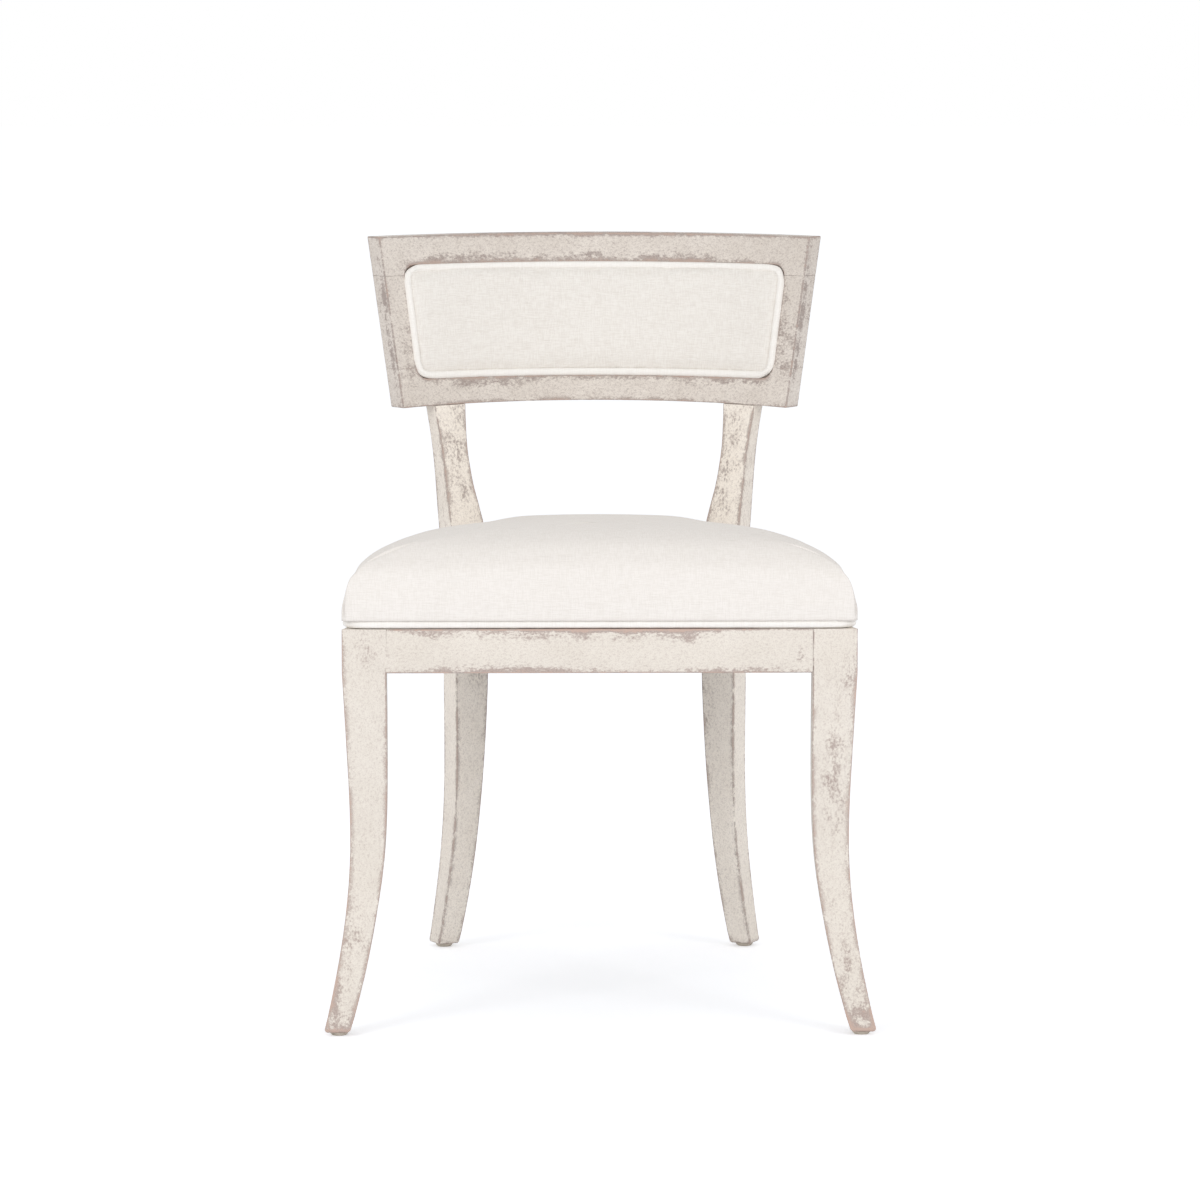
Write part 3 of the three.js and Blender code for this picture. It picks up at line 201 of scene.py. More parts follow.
# Old milk paint over wood: mottled and stippled, crumbling away where it is rubbed
def buildPaintGroup():
    tree, inside, outside = newGroup(
        "Distressed paint",
        [
            ("Paint", colourKind, rgb(231, 224, 213)),
            ("Shaded paint", colourKind, rgb(205, 199, 184)),
            ("Undercoat", colourKind, rgb(150, 138, 128)),
            ("Wood", colourKind, rgb(190, 158, 142)),
            ("Arris wear", floatKind, 0.5),
            ("Mottle", floatKind, 0.5),
            ("Patches", floatKind, 0.0),
            ("Stipple", floatKind, 0.25),
            ("Drag", vectorKind, (1.0, 1.0, 1.0)),
            ("Everywhere", floatKind, 0.0),
        ],
        [("Colour", colourKind), ("Roughness", floatKind), ("Height", floatKind)],
    )
    place = addNode(tree, "ShaderNodeTexCoord").outputs["Object"]
    worn = addNode(tree, "ShaderNodeBevel", {"Radius": paintGrain["arris"]}, samples=8)
    flatness = addNode(tree, "ShaderNodeVectorMath", operation="DOT_PRODUCT")
    link(tree, worn.outputs["Normal"], flatness.inputs[0])
    geometry = addNode(tree, "ShaderNodeNewGeometry")
    link(tree, geometry.outputs["Normal"], flatness.inputs[1])
    arris = stepUp(tree, flatness.outputs["Value"], *paintGrain["turned"])
    kept = addNode(tree, "ShaderNodeAttribute", attribute_name="sheltered")
    arris = mathNode(tree, "MULTIPLY", arris, mathNode(tree, "SUBTRACT", 1.0, kept.outputs["Fac"]))

    dragged = addNode(tree, "ShaderNodeVectorMath", operation="MULTIPLY")
    link(tree, place, dragged.inputs[0])
    link(tree, inside.outputs["Drag"], dragged.inputs[1])
    dragged = dragged.outputs[0]
    broad = stepUp(tree, noise(tree, place, paintGrain["broad"]), 0.3, 0.7)
    stretches = stepUp(tree, noise(tree, place, paintGrain["stretches"]), 0.38, 0.62)
    cloudy = stepUp(tree, noise(tree, dragged, paintGrain["cloudy"], 6.0, 0.65), 0.3, 0.7)
    crumbly = stepUp(tree, noise(tree, dragged, paintGrain["crumbly"], 5.0, 0.7), 0.3, 0.7)
    grain = stepUp(tree, noise(tree, place, paintGrain["grain"], 2.0), 0.3, 0.7)

    rubbed = mathNode(tree, "MULTIPLY", arris, mathNode(tree, "MULTIPLY_ADD", stretches, 0.7, 0.4))
    rubbed = mathNode(tree, "MULTIPLY", rubbed, inside.outputs["Arris wear"])
    rubbed = mathNode(tree, "ADD", rubbed, inside.outputs["Patches"])
    rubbed = mathNode(tree, "ADD", rubbed, inside.outputs["Everywhere"])
    spread = mathNode(tree, "MULTIPLY_ADD", cloudy, 0.35, mathNode(tree, "MULTIPLY", crumbly, 0.65))
    density = mathNode(tree, "MULTIPLY", rubbed, mathNode(tree, "MULTIPLY_ADD", cloudy, 0.8, 0.5))
    loss = mathNode(tree, "ADD", density, spread)
    veil = stepUp(tree, loss, *paintLoss["veil"])
    underMask = stepUp(tree, loss, *paintLoss["undercoat"])
    woodMask = stepUp(tree, loss, *paintLoss["wood"])

    mottle = mathNode(tree, "MULTIPLY_ADD", cloudy, 0.4, mathNode(tree, "MULTIPLY", broad, 0.6))
    mottle = mathNode(tree, "MULTIPLY", mottle, inside.outputs["Mottle"])
    colour = mixColours(tree, mottle, inside.outputs["Paint"], inside.outputs["Shaded paint"])
    stipple = mathNode(tree, "MULTIPLY", crumbly, grain)
    stipple = mathNode(tree, "MULTIPLY", stipple, inside.outputs["Stipple"])
    colour = mixColours(tree, stipple, colour, inside.outputs["Undercoat"])
    colour = mixColours(tree, mathNode(tree, "MULTIPLY", veil, 0.42), colour, inside.outputs["Undercoat"])
    crumbs = mathNode(tree, "MULTIPLY_ADD", grain, 0.45, 0.45, clamp=True)
    crumbs = mathNode(tree, "MULTIPLY", underMask, crumbs)
    colour = mixColours(tree, crumbs, colour, inside.outputs["Undercoat"])
    colour = mixColours(tree, mathNode(tree, "MULTIPLY", woodMask, 0.75), colour, inside.outputs["Wood"])
    link(tree, colour, outside.inputs["Colour"])
    roughness = mathNode(tree, "MULTIPLY_ADD", grain, 0.2, 0.5)
    roughness = mathNode(tree, "MULTIPLY_ADD", underMask, 0.12, roughness)
    link(tree, roughness, outside.inputs["Roughness"])
    height = mathNode(tree, "MULTIPLY_ADD", underMask, -0.7, mathNode(tree, "MULTIPLY", cloudy, 0.3))
    height = mathNode(tree, "MULTIPLY_ADD", crumbly, 0.3, height)
    link(tree, height, outside.inputs["Height"])
    return tree


# The seam colour is painted shade, laid into the linen in the creases along its seams
linenThreads = {"across": 1300, "along": 110, "slubs": ((60, 60, 900), (900, 60, 900)), "clouds": 9.0,
                "seamShade": rgb(176, 166, 156)}


# Linen: uneven threads along each axis, slubs, a faint weave, and painted shade along the seams
def buildLinenGroup():
    tree, inside, outside = newGroup(
        "Linen",
        [
            ("Light thread", colourKind, rgb(244, 240, 234)),
            ("Dark thread", colourKind, rgb(214, 208, 199)),
            ("Pitch", floatKind, 0.0009),
            ("Slubs", floatKind, 0.5),
        ],
        [("Colour", colourKind), ("Height", floatKind)],
    )
    place = addNode(tree, "ShaderNodeTexCoord").outputs["Object"]
    facing = addNode(tree, "ShaderNodeNewGeometry")
    normal = addNode(tree, "ShaderNodeSeparateXYZ")
    link(tree, facing.outputs["True Normal"], normal.inputs[0])
    threads = []
    for axis in range(3):
        stretch = [linenThreads["across"] if k == axis else linenThreads["along"] for k in range(3)]
        thread = noise(tree, place, 1.0, 2.0, 0.5, stretch)
        across = mathNode(tree, "MULTIPLY", normal.outputs[axis], normal.outputs[axis])
        threads.append(mathNode(tree, "MULTIPLY", thread, mathNode(tree, "SUBTRACT", 1.0, across)))
    total = mathNode(tree, "ADD", mathNode(tree, "ADD", threads[0], threads[1]), threads[2])
    uneven = mathNode(tree, "MULTIPLY", total, 0.5)
    slubs = [noise(tree, place, 1.0, 1.0, 0.4, stretch) for stretch in linenThreads["slubs"]]
    slubs = [stepUp(tree, thick, 0.6, 0.76) for thick in slubs]
    slub = mathNode(tree, "MULTIPLY", mathNode(tree, "ADD", slubs[0], slubs[1]), inside.outputs["Slubs"])
    split = addNode(tree, "ShaderNodeSeparateXYZ")
    link(tree, place, split.inputs[0])
    turns = mathNode(tree, "DIVIDE", 2 * math.pi, inside.outputs["Pitch"])
    waves = [mathNode(tree, "SINE", mathNode(tree, "MULTIPLY", split.outputs[k], turns)) for k in range(3)]
    weave = mathNode(tree, "MULTIPLY", waves[0], mathNode(tree, "ADD", waves[1], waves[2]))
    soft = noise(tree, place, linenThreads["clouds"], 3.0)
    tone = stepUp(tree, uneven, 0.4, 0.6)
    tone = mathNode(tree, "MULTIPLY_ADD", slub, 0.5, mathNode(tree, "MULTIPLY", tone, 0.5))
    tone = mathNode(tree, "MULTIPLY_ADD", weave, 0.06, tone)
    tone = mathNode(tree, "MULTIPLY_ADD", mathNode(tree, "SUBTRACT", soft, 0.5), 0.35, tone, clamp=True)
    seamShade = addNode(tree, "ShaderNodeAttribute", attribute_name="seamShade").outputs["Fac"]
    colour = mixColours(tree, tone, inside.outputs["Light thread"], inside.outputs["Dark thread"])
    # Painted shade along the seams, as strong as the seam attribute
    colour = mixColours(tree, mathNode(tree, "MULTIPLY", seamShade, 0.35), colour, linenThreads["seamShade"])
    link(tree, colour, outside.inputs["Colour"])
    height = mathNode(tree, "MULTIPLY_ADD", weave, 0.3, mathNode(tree, "ADD", uneven, slub))
    link(tree, height, outside.inputs["Height"])
    return tree


groups = {"patch": buildPatchGroup(), "paint": buildPaintGroup(), "linen": buildLinenGroup()}


def newMaterial(name, settings):
    material = bpy.data.materials.new(name)
    material.use_nodes = True
    tree = material.node_tree
    shader = tree.nodes["Principled BSDF"]
    for key, value in settings.items():
        shader.inputs[key].default_value = value
    return material, tree, shader


def addBump(tree, shader, height, strength):
    bump = addNode(tree, "ShaderNodeBump", {"Strength": strength, "Distance": bumpDepth})
    link(tree, height, bump.inputs["Height"])
    link(tree, bump.outputs["Normal"], shader.inputs["Normal"])


def paintMaterial(name, values, patches):
    material, tree, shader = newMaterial(name, {"Specular IOR Level": 0.25})
    group = addNode(tree, "ShaderNodeGroup", node_tree=groups["paint"])
    for key, value in values.items():
        group.inputs[key].default_value = value
    total = None
    for centre, reach, strength, *slant in patches:
        patch = addNode(tree, "ShaderNodeGroup", node_tree=groups["patch"])
        patch.inputs["Centre"].default_value = centre
        patch.inputs["Reach"].default_value = reach
        patch.inputs["Strength"].default_value = strength
        patch.inputs["Slant"].default_value = slant[0] if slant else 0.0
        total = patch.outputs[0] if total is None else mathNode(tree, "MAXIMUM", total, patch.outputs[0])
    if total is not None:
        link(tree, total, group.inputs["Patches"])
    link(tree, group.outputs["Colour"], shader.inputs["Base Color"])
    link(tree, group.outputs["Roughness"], shader.inputs["Roughness"])
    addBump(tree, shader, group.outputs["Height"], 0.35)
    return material


linenGloss = {"Roughness": 0.92, "Specular IOR Level": 0.15, "Sheen Weight": 0.12, "Sheen Roughness": 0.5}


def linenMaterial(name, values):
    material, tree, shader = newMaterial(name, linenGloss)
    group = addNode(tree, "ShaderNodeGroup", node_tree=groups["linen"])
    for key, value in values.items():
        group.inputs[key].default_value = value
    link(tree, group.outputs["Colour"], shader.inputs["Base Color"])
    addBump(tree, shader, group.outputs["Height"], 0.3)
    return material


print("stage: paint")
frontPaint = {"Paint": rgb(235, 228, 218), "Shaded paint": rgb(224, 216, 205),
              "Undercoat": rgb(170, 152, 145), "Wood": rgb(203, 176, 162), "Arris wear": 1.0, "Mottle": 0.7,
              "Stipple": 0.45, "Drag": (1.0, 1.0, 0.65)}
backPaint = {"Paint": rgb(230, 222, 213), "Shaded paint": rgb(214, 205, 195), "Undercoat": rgb(156, 142, 136),
             "Wood": rgb(192, 168, 155), "Arris wear": 0.9, "Mottle": 0.9, "Stipple": 0.7,
             "Drag": (0.6, 1.0, 1.0)}
railPaint = frontPaint | {"Drag": (0.55, 1.0, 1.0)}
# The rear legs, stiles and rear rail get a lighter paint than the back's: painted light against the shade
# under the seat
rearPaintWithPaintedLight = backPaint | {"Paint": rgb(248, 240, 229), "Shaded paint": rgb(238, 229, 217), "Arris wear": 0.85,
                         "Stipple": 0.5, "Drag": (1.0, 1.0, 0.65)}
arrisWear = {"Everywhere": 0.8}
railPatches = [
    ((0.03, -0.26, 0.4225), (0.19, 0.05, 0.0085), 1.5),
    ((-0.15, -0.26, 0.4195), (0.09, 0.05, 0.012), 0.8),
    ((0.0, -0.26, 0.415), (0.2, 0.05, 0.012), 0.5),
    ((0.098, -0.26, 0.413), (0.02, 0.05, 0.012), 0.7),
    ((0.211, -0.26, 0.3946), (0.007, 0.05, 0.013), 1.0),
    ((-0.1, -0.26, 0.374), (0.18, 0.05, 0.014), 0.95),
    ((0.16, -0.26, 0.374), (0.16, 0.05, 0.011), 0.85),
]
rightLegPatches = [
    ((0.247, -0.27, 0.262), (0.022, 0.08, 0.12), 0.5),
    ((0.258, -0.3, 0.07), (0.01, 0.08, 0.045), 0.65),
    ((0.278, -0.32, 0.0), (0.06, 0.09, 0.085), 1.0),
    ((0.265, -0.27, 0.36), (0.02, 0.06, 0.06), 0.4),
    ((0.262, -0.29, 0.15), (0.04, 0.06, 0.14), 0.3),
]
leftLegPatches = [
    ((-0.278, -0.31, 0.042), (0.015, 0.07, 0.035), 0.95),
    ((-0.272, -0.32, 0.0), (0.06, 0.08, 0.045), 0.8),
    ((-0.245, -0.27, 0.4), (0.03, 0.06, 0.03), 0.3),
    ((-0.265, -0.29, 0.13), (0.04, 0.06, 0.12), 0.45),
]
# The last two darken the stiles above the seat back down from the lightened rear paint, so the painted light
# stays on the legs under the seat
rearPatches = [
    ((-0.135, 0.2, 0.35), (0.02, 0.06, 0.12), 0.45),
    ((0.13, 0.2, 0.3), (0.03, 0.06, 0.14), 0.4),
    ((-0.135, 0.2, 0.56), (0.07, 0.12, 0.13), 0.42),
    ((0.135, 0.2, 0.56), (0.07, 0.12, 0.13), 0.42),
]
crestPatches = [
    ((0.0, 0.27, 0.772), (0.27, 0.3, 0.014), 0.8),
    ((-0.13, 0.27, 0.774), (0.12, 0.3, 0.014), 0.75),
    ((0.0, 0.3, 0.802), (0.3, 0.3, 0.007), 0.75),
    ((-0.12, 0.2, 0.642), (0.13, 0.3, 0.014), 0.7),
    ((0.14, 0.2, 0.642), (0.1, 0.3, 0.012), 0.6),
    ((-0.231, 0.2, 0.712), (0.0045, 0.3, 0.13), 0.85, -0.139),
    ((0.231, 0.2, 0.712), (0.0045, 0.3, 0.13), 0.85, 0.139),
    ((-0.236, 0.2, 0.73), (0.016, 0.3, 0.06), 0.25, -0.139),
    ((0.238, 0.2, 0.72), (0.012, 0.3, 0.09), 0.25, 0.139),
    ((-0.2, 0.2, 0.705), (0.007, 0.3, 0.075), 0.7, -0.16),
    ((0.2, 0.2, 0.705), (0.007, 0.3, 0.075), 0.75, 0.16),
    ((0.0, 0.27, 0.7715), (0.25, 0.3, 0.007), 0.8),
    ((0.0, 0.27, 0.6435), (0.22, 0.3, 0.007), 0.7),
    ((-0.205, 0.2, 0.7), (0.02, 0.3, 0.07), 0.4),
    ((0.21, 0.2, 0.7), (0.02, 0.3, 0.08), 0.5),
    ((-0.2, 0.2, 0.652), (0.03, 0.3, 0.012), 0.4),
]


# A face finish and the more worn one of its arrises
def paintPair(name, values, patches):
    return [paintMaterial(name, values, patches), paintMaterial(name + " arris", values | arrisWear, patches)]


paints = {
    "rail": paintPair("front rail paint", railPaint, railPatches),
    "right": paintPair("right leg paint", frontPaint, rightLegPatches),
    "left": paintPair("left leg paint", frontPaint, leftLegPatches),
    "crest": paintPair("crest paint", backPaint, crestPatches),
    "rear": paintPair("rear leg paint with painted light", rearPaintWithPaintedLight, rearPatches),
}

print("stage: wood")
woodShape = {"flat": 0.6, "sharp": 30, "arris": 0.0014, "joint": 0.12, "segments": 3, "smooth": 36,
             "sheltered": 0.8}
joints = {"bridgedSide": -0.2, "bridgedFront": -0.23, "railEnd": 0.2205, "railTop": 0.4208,
          "railFront": -0.259, "railGap": 0.0007, "legInside": 0.2255, "legSocket": 0.374, "legBack": -0.218,
          "legTop": 0.42, "stileTop": 0.612, "rearLow": 0.372, "rearHigh": 0.424, "rearFace": 0.175,
          "crestUpper": 0.7589, "crestLower": 0.6572, "crestNear": 0.0006, "crestFrom": 0.19,
          "endTop": 0.7585, "endBottom": 0.6575, "topGap": 0.00014, "bottomGap": 0.00026}


# Draws a face toward its neighbour, so that the paint seems to bridge the joint
def closeJoint(piece, meets, shift):
    for vertex in piece.data.vertices:
        if meets(vertex.co):
            vertex.co += Vector(shift)


# True at the front joint that the paint has bridged
def bridged(point):
    return point.x < joints["bridgedSide"] and point.y < joints["bridgedFront"]


def bevelWood(piece, atJoint):
    cleanMesh(piece, woodShape["flat"])
    form = bmesh.new()
    form.from_mesh(piece.data)
    weights = form.edges.layers.float.new("bevel_weight_edge")
    for edge in form.edges:
        if len(edge.link_faces) != 2 or edge.calc_face_angle() < math.radians(woodShape["sharp"]):
            continue
        middle = (edge.verts[0].co + edge.verts[1].co) / 2
        edge[weights] = 1.0 if not atJoint(middle) else 0.0 if bridged(middle) else woodShape["joint"]
    form.to_mesh(piece.data)
    form.free()
    bevel = piece.modifiers.new("arrises", "BEVEL")
    bevel.limit_method = "WEIGHT"
    bevel.width = woodShape["arris"]
    bevel.segments = woodShape["segments"]
    bevel.use_clamp_overlap = False
    bevel.material = 1
    applyAll(piece)
    smoothByAngle(piece, woodShape["smooth"])
    sheltered = piece.data.attributes.new("sheltered", "FLOAT", "POINT")
    for k, vertex in enumerate(piece.data.vertices):
        sheltered.data[k].value = woodShape["sheltered"] if atJoint(vertex.co) else 0.0


# True where a piece meets its neighbour, so that the joint stays a hairline
def frontRailJoint(point):
    atTop = point.z > joints["railTop"] and point.y > joints["railFront"]
    return abs(point.x) > joints["railEnd"] or atTop


def frontLegJoint(point):
    atRail = abs(point.x) < joints["legInside"] and point.z > joints["legSocket"]
    return atRail or point.y > joints["legBack"] or point.z > joints["legTop"]


def rearLegJoint(point):
    atRail = joints["rearLow"] < point.z < joints["rearHigh"] and point.y < joints["rearFace"]
    return point.z > joints["stileTop"] or atRail


def crestJoint(point):
    away = min(abs(point.z - joints["crestUpper"]), abs(point.z - joints["crestLower"]))
    return away < joints["crestNear"] and abs(point.x) > joints["crestFrom"]


def noJoint(point):
    return False


woodPieces = [
    ("front_rail", "rail", frontRailJoint), ("front_leg_right", "right", frontLegJoint),
    ("front_leg_left", "left", frontLegJoint), ("side_rail_right", "right", noJoint),
    ("side_rail_left", "left", noJoint), ("rear_rail", "rear", noJoint),
    ("rear_leg_right", "rear", rearLegJoint), ("rear_leg_left", "rear", rearLegJoint),
    ("crest_top_rail", "crest", crestJoint), ("crest_bottom_rail", "crest", crestJoint),
    ("crest_end_right", "crest", crestJoint), ("crest_end_left", "crest", crestJoint),
]
crestEndJoints = [(lambda point: point.z < joints["endBottom"], (0.0, 0.0, -joints["bottomGap"])),
                  (lambda point: point.z > joints["endTop"], (0.0, 0.0, joints["topGap"]))]
railEndJoint = [(lambda point: point.x < joints["bridgedSide"] and point.z < joints["railTop"],
                 (-joints["railGap"], 0.0, 0.0))]
closedJoints = {
    "front_rail": railEndJoint,
    "crest_end_right": crestEndJoints,
    "crest_end_left": crestEndJoints,
}
for node, paint, atJoint in woodPieces:
    piece = copyNode(node, node + ".painted")
    for finish in paints[paint]:
        piece.data.materials.append(finish)
    for meets, shift in closedJoints.get(node, []):
        closeJoint(piece, meets, shift)
    bevelWood(piece, atJoint)
    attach(piece, "root")
    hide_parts(node)
    print("  ", node, len(piece.data.polygons))


print("stage: upholstery")
seatThreads = {"Light thread": rgb(240, 235, 230), "Dark thread": rgb(226, 220, 213)}
backThreads = {"Light thread": rgb(239, 235, 229), "Dark thread": rgb(220, 213, 205)}
weltThreads = {"Light thread": rgb(247, 244, 239), "Dark thread": rgb(236, 231, 225), "Slubs": 0.3}
seatLinen = linenMaterial("seat linen", seatThreads)
backLinen = linenMaterial("back linen", backThreads)
weltLinen = linenMaterial("welt linen", weltThreads)
clothShape = {"quality": 5, "mass": 0.3, "stretch": 12, "shear": 6, "bend": 0.4}


# Blows a closed form up like a stuffed cover; points with no freedom stay where they are
def inflate(piece, shape, freedom):
    start = [vertex.co.copy() for vertex in piece.data.vertices]
    free = [freedom(point) for point in start]
    group = piece.vertex_groups.new(name="held")
    group.add([k for k, share in enumerate(free) if share == 0], 1.0, "REPLACE")
    cloth = piece.modifiers.new("cloth", "CLOTH")
    cloth.settings.quality = clothShape["quality"]
    cloth.settings.mass = clothShape["mass"]
    cloth.settings.tension_stiffness = clothShape["stretch"]
    cloth.settings.compression_stiffness = clothShape["stretch"]
    cloth.settings.shear_stiffness = clothShape["shear"]
    cloth.settings.bending_stiffness = clothShape["bend"]
    cloth.settings.use_pressure = True
    cloth.settings.uniform_pressure_force = shape["pressure"]
    cloth.settings.vertex_group_mass = "held"
    cloth.settings.effector_weights.gravity = 0
    cloth.point_cache.frame_start = 1
    cloth.point_cache.frame_end = shape["frames"]
    for step in range(1, shape["frames"] + 1):
        bpy.context.scene.frame_set(step)
    applyAll(piece)
    swelled = [(vertex.co - old).length for vertex, old in zip(piece.data.vertices, start)]
    print("  ", piece.name, "swelled by up to", round(max(swelled) * 1000, 1), "mm")
    for vertex, old, share in zip(piece.data.vertices, start, free):
        moved = vertex.co - old
        if moved.length > shape["cap"] * share:
            vertex.co = old + moved.normalized() * shape["cap"] * share
    bpy.context.scene.frame_set(1)
    piece.vertex_groups.clear()
    relax(piece, shape["relax"], free)


# Evens a skin out, each point as much as it is free to move
def relax(piece, times, free):
    group = piece.vertex_groups.new(name="free")
    for k, share in enumerate(free):
        group.add([k], share, "REPLACE")
    smooth = piece.modifiers.new("relax", "SMOOTH")
    smooth.iterations = times
    smooth.factor = 0.5
    smooth.vertex_group = "free"
    applyAll(piece)
    piece.vertex_groups.clear()


def finishSoft(piece, levels):
    finer = piece.modifiers.new("finer", "SUBSURF")
    finer.levels = levels
    applyAll(piece)
    selectOnly(piece)
    bpy.ops.object.shade_smooth()


# The closed form under a thin cover: its outer skin alone, the open base filled
def closeCover(piece, centre):
    cleanMesh(piece)
    form = bmesh.new()
    form.from_mesh(piece.data)
    inner = [face for face in form.faces if face.normal.dot(face.calc_center_median() - Vector(centre)) < 0]
    bmesh.ops.delete(form, geom=inner, context="FACES")
    form.to_mesh(piece.data)
    form.free()
    selectOnly(piece)
    bpy.ops.object.mode_set(mode="EDIT")
    bpy.ops.mesh.select_all(action="SELECT")
    bpy.ops.mesh.fill_holes(sides=0)
    bpy.ops.mesh.normals_make_consistent(inside=False)
    bpy.ops.mesh.tris_convert_to_quads(face_threshold=math.radians(40), shape_threshold=math.radians(70))
    bpy.ops.object.mode_set(mode="OBJECT")


# Keeps the sharp edges of a form, as far up as it is told, while the form is rounded off
def creaseSharp(piece, sharp, top=1.0):
    form = bmesh.new()
    form.from_mesh(piece.data)
    crease = form.edges.layers.float.new("crease_edge")
    for edge in form.edges:
        if edge.verts[0].co.z > top or len(edge.link_faces) != 2:
            continue
        if edge.calc_face_angle() > math.radians(sharp):
            edge[crease] = 1.0
    form.to_mesh(piece.data)
    form.free()


# Rounds the faceted skin off, its sharp base edge kept
def roundSkin(piece, sharp, levels, top):
    creaseSharp(piece, sharp, top)
    rounder = piece.modifiers.new("rounder", "SUBSURF")
    rounder.levels = levels
    applyAll(piece)


backAxis = Vector((0.0, -0.1103, 0.0))
backHalfWidth = 0.17


# Moves a point about the back's axis and away from a height
def spreadRound(point, middle, turn, stretch):
    across = point - backAxis
    radius = math.hypot(across.x, across.y)
    angle = math.atan2(across.x, across.y) * (1 + turn)
    point.x = backAxis.x + math.sin(angle) * radius
    point.y = backAxis.y + math.cos(angle) * radius
    point.z = middle + (point.z - middle) * (1 + stretch)


# Spreads a piece of the back out to its welt all round
def spreadPiece(piece, low, high, shape):
    for vertex in piece.data.vertices:
        spreadRound(vertex.co, (low[2] + high[2]) / 2, shape["wider"] / backHalfWidth,
                    2 * shape["taller"] / (high[2] - low[2]))


# The slope of the curve at a row, level at both ends
def slopeAt(rows, k):
    if k in (0, len(rows) - 1):
        return 0.0
    (low, before), (high, after) = rows[k - 1], rows[k + 1]
    return (after - before) / (high - low)


# A smooth curve through the rows of a table
def curveAt(rows, place):
    if place <= rows[0][0] or place >= rows[-1][0]:
        return rows[0][1] if place <= rows[0][0] else rows[-1][1]
    k = next(index for index, row in enumerate(rows) if place < row[0])
    (low, before), (high, after) = rows[k - 1], rows[k]
    slopes = slopeAt(rows, k - 1), slopeAt(rows, k)
    part = (place - low) / (high - low)
    bend = part * part * (3 - 2 * part)
    lean = slopes[0] * part * (1 - part) ** 2 - slopes[1] * part * part * (1 - part)
    return before + (after - before) * bend + lean * (high - low)


# Widens the form by a share that changes with height, measured along a plane that climbs toward the back
def widen(piece, shape):
    for vertex in piece.data.vertices:
        vertex.co.x *= curveAt(shape["widths"], vertex.co.z + shape["climb"] * vertex.co.y)


# Draws the skin in along its normals, so that there is room to swell
def drawIn(piece, shape):
    normals = [vertex.normal.copy() for vertex in piece.data.vertices]
    for vertex, normal in zip(piece.data.vertices, normals):
        share = min(1.0, max(0.0, (vertex.co.z - shape["kept"]) / shape["firm"]))
        vertex.co -= normal * shape["drawn"] * share


# A sewn corner of the boxed cover: a shallow groove that fades out up the roll, with painted shade laid into
# the linen along it
def sewCorner(piece, side, shape):
    diagonal = Vector((side, -1.0, 0.0)).normalized()
    along = Vector((1.0, side, 0.0)).normalized()
    low = [vertex.co.copy() for vertex in piece.data.vertices if vertex.co.z < shape["top"]]
    corner = max(low, key=lambda point: point.dot(diagonal))
    seamShade = piece.data.attributes.get("seamShade") or piece.data.attributes.new("seamShade", "FLOAT", "POINT")
    for k, vertex in enumerate(piece.data.vertices):
        away = (vertex.co - corner).dot(along)
        inward = -(vertex.co - corner).dot(diagonal)
        if abs(away) > shape["near"] or inward > shape["inward"] or vertex.co.z > shape["top"]:
            continue
        rise = max(0.0, (vertex.co.z - shape["base"]) / shape["rise"])
        fade = min(1.0, (shape["top"] - vertex.co.z) / shape["fade"], rise)
        share = fade * math.exp(-((away / shape["width"]) ** 2))
        # The seam attribute carries painted shade along the groove, besides the groove itself
        seamShade.data[k].value = max(seamShade.data[k].value, share)
        vertex.co -= diagonal * share * shape["depth"]


seatShape = {"sharp": 50, "levels": 2, "drawn": 0.002, "kept": 0.434, "pressure": 3.0, "frames": 16,
             "cap": 0.004, "relax": 4, "hold": 0.0015, "sunk": 0.0007, "sunkUpTo": 0.014, "climb": 0.112,
             "eased": 11, "lowered": 0.0022, "crownFrom": 0.496, "crownOver": 0.016, "rearFrom": 0.19,
             "rearRise": 0.0085, "corner": 0.05, "firm": 0.02, "seamShadeStrength": 0.6, "seamShadeHalfWidth": 0.0035,
             "under": 0.01,
             "widths": [(0.398, 1.017), (0.41, 1.014), (0.43, 1.011), (0.445, 1.007), (0.4525, 1.013),
                        (0.459, 1.042), (0.467, 1.067), (0.476, 1.083), (0.484, 1.08), (0.493, 1.055),
                        (0.5015, 1.02), (0.512, 0.95)]}
cornerSeam = {"base": 0.432, "top": 0.464, "fade": 0.02, "rise": 0.006, "width": 0.0016, "depth": 0.0014,
              "near": 0.02, "inward": 0.05}
seatLow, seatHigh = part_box("seat_cover")


# How free a point of the cushion is to move: not at all at its base, fully a little above it
def aboveBase(point):
    return min(1.0, max(0.0, (point.z - seatLow[2] - seatShape["hold"]) / seatShape["firm"]))


# Brings the rear edge down to its welt like the rest
def lowerRear(piece):
    for vertex in piece.data.vertices:
        if vertex.co.y > seatShape["rearFrom"] and vertex.co.z < seatLow[2] + seatShape["rearRise"]:
            vertex.co.z = seatLow[2]


# Evens the skin out over a base edge that stays, and at the front corners follows the wall above it
def easeSkin(piece):
    points = piece.data.vertices
    top = seatLow[2] + seatShape["hold"]
    base = {vertex.index: vertex.co.copy() for vertex in points if vertex.co.z < top}
    relax(piece, seatShape["eased"], [aboveBase(vertex.co) for vertex in points])
    points = piece.data.vertices
    front = Vector((seatHigh[0], seatLow[1]))
    walls = {}
    for edge in piece.data.edges:
        below, above = edge.vertices
        if above in base:
            below, above = above, below
        if below in base and above not in base:
            walls.setdefault(below, []).append(points[above].co)
    for below, wall in walls.items():
        point = base[below]
        near = min(wall, key=lambda other: (other.xy - point.xy).length)
        away = (Vector((abs(point.x), point.y)) - front).length
        share = max(0.0, 1 - away / seatShape["corner"])
        base[below] = Vector((*point.xy.lerp(near.xy, share), point.z))
    for k, point in base.items():
        points[k].co = point


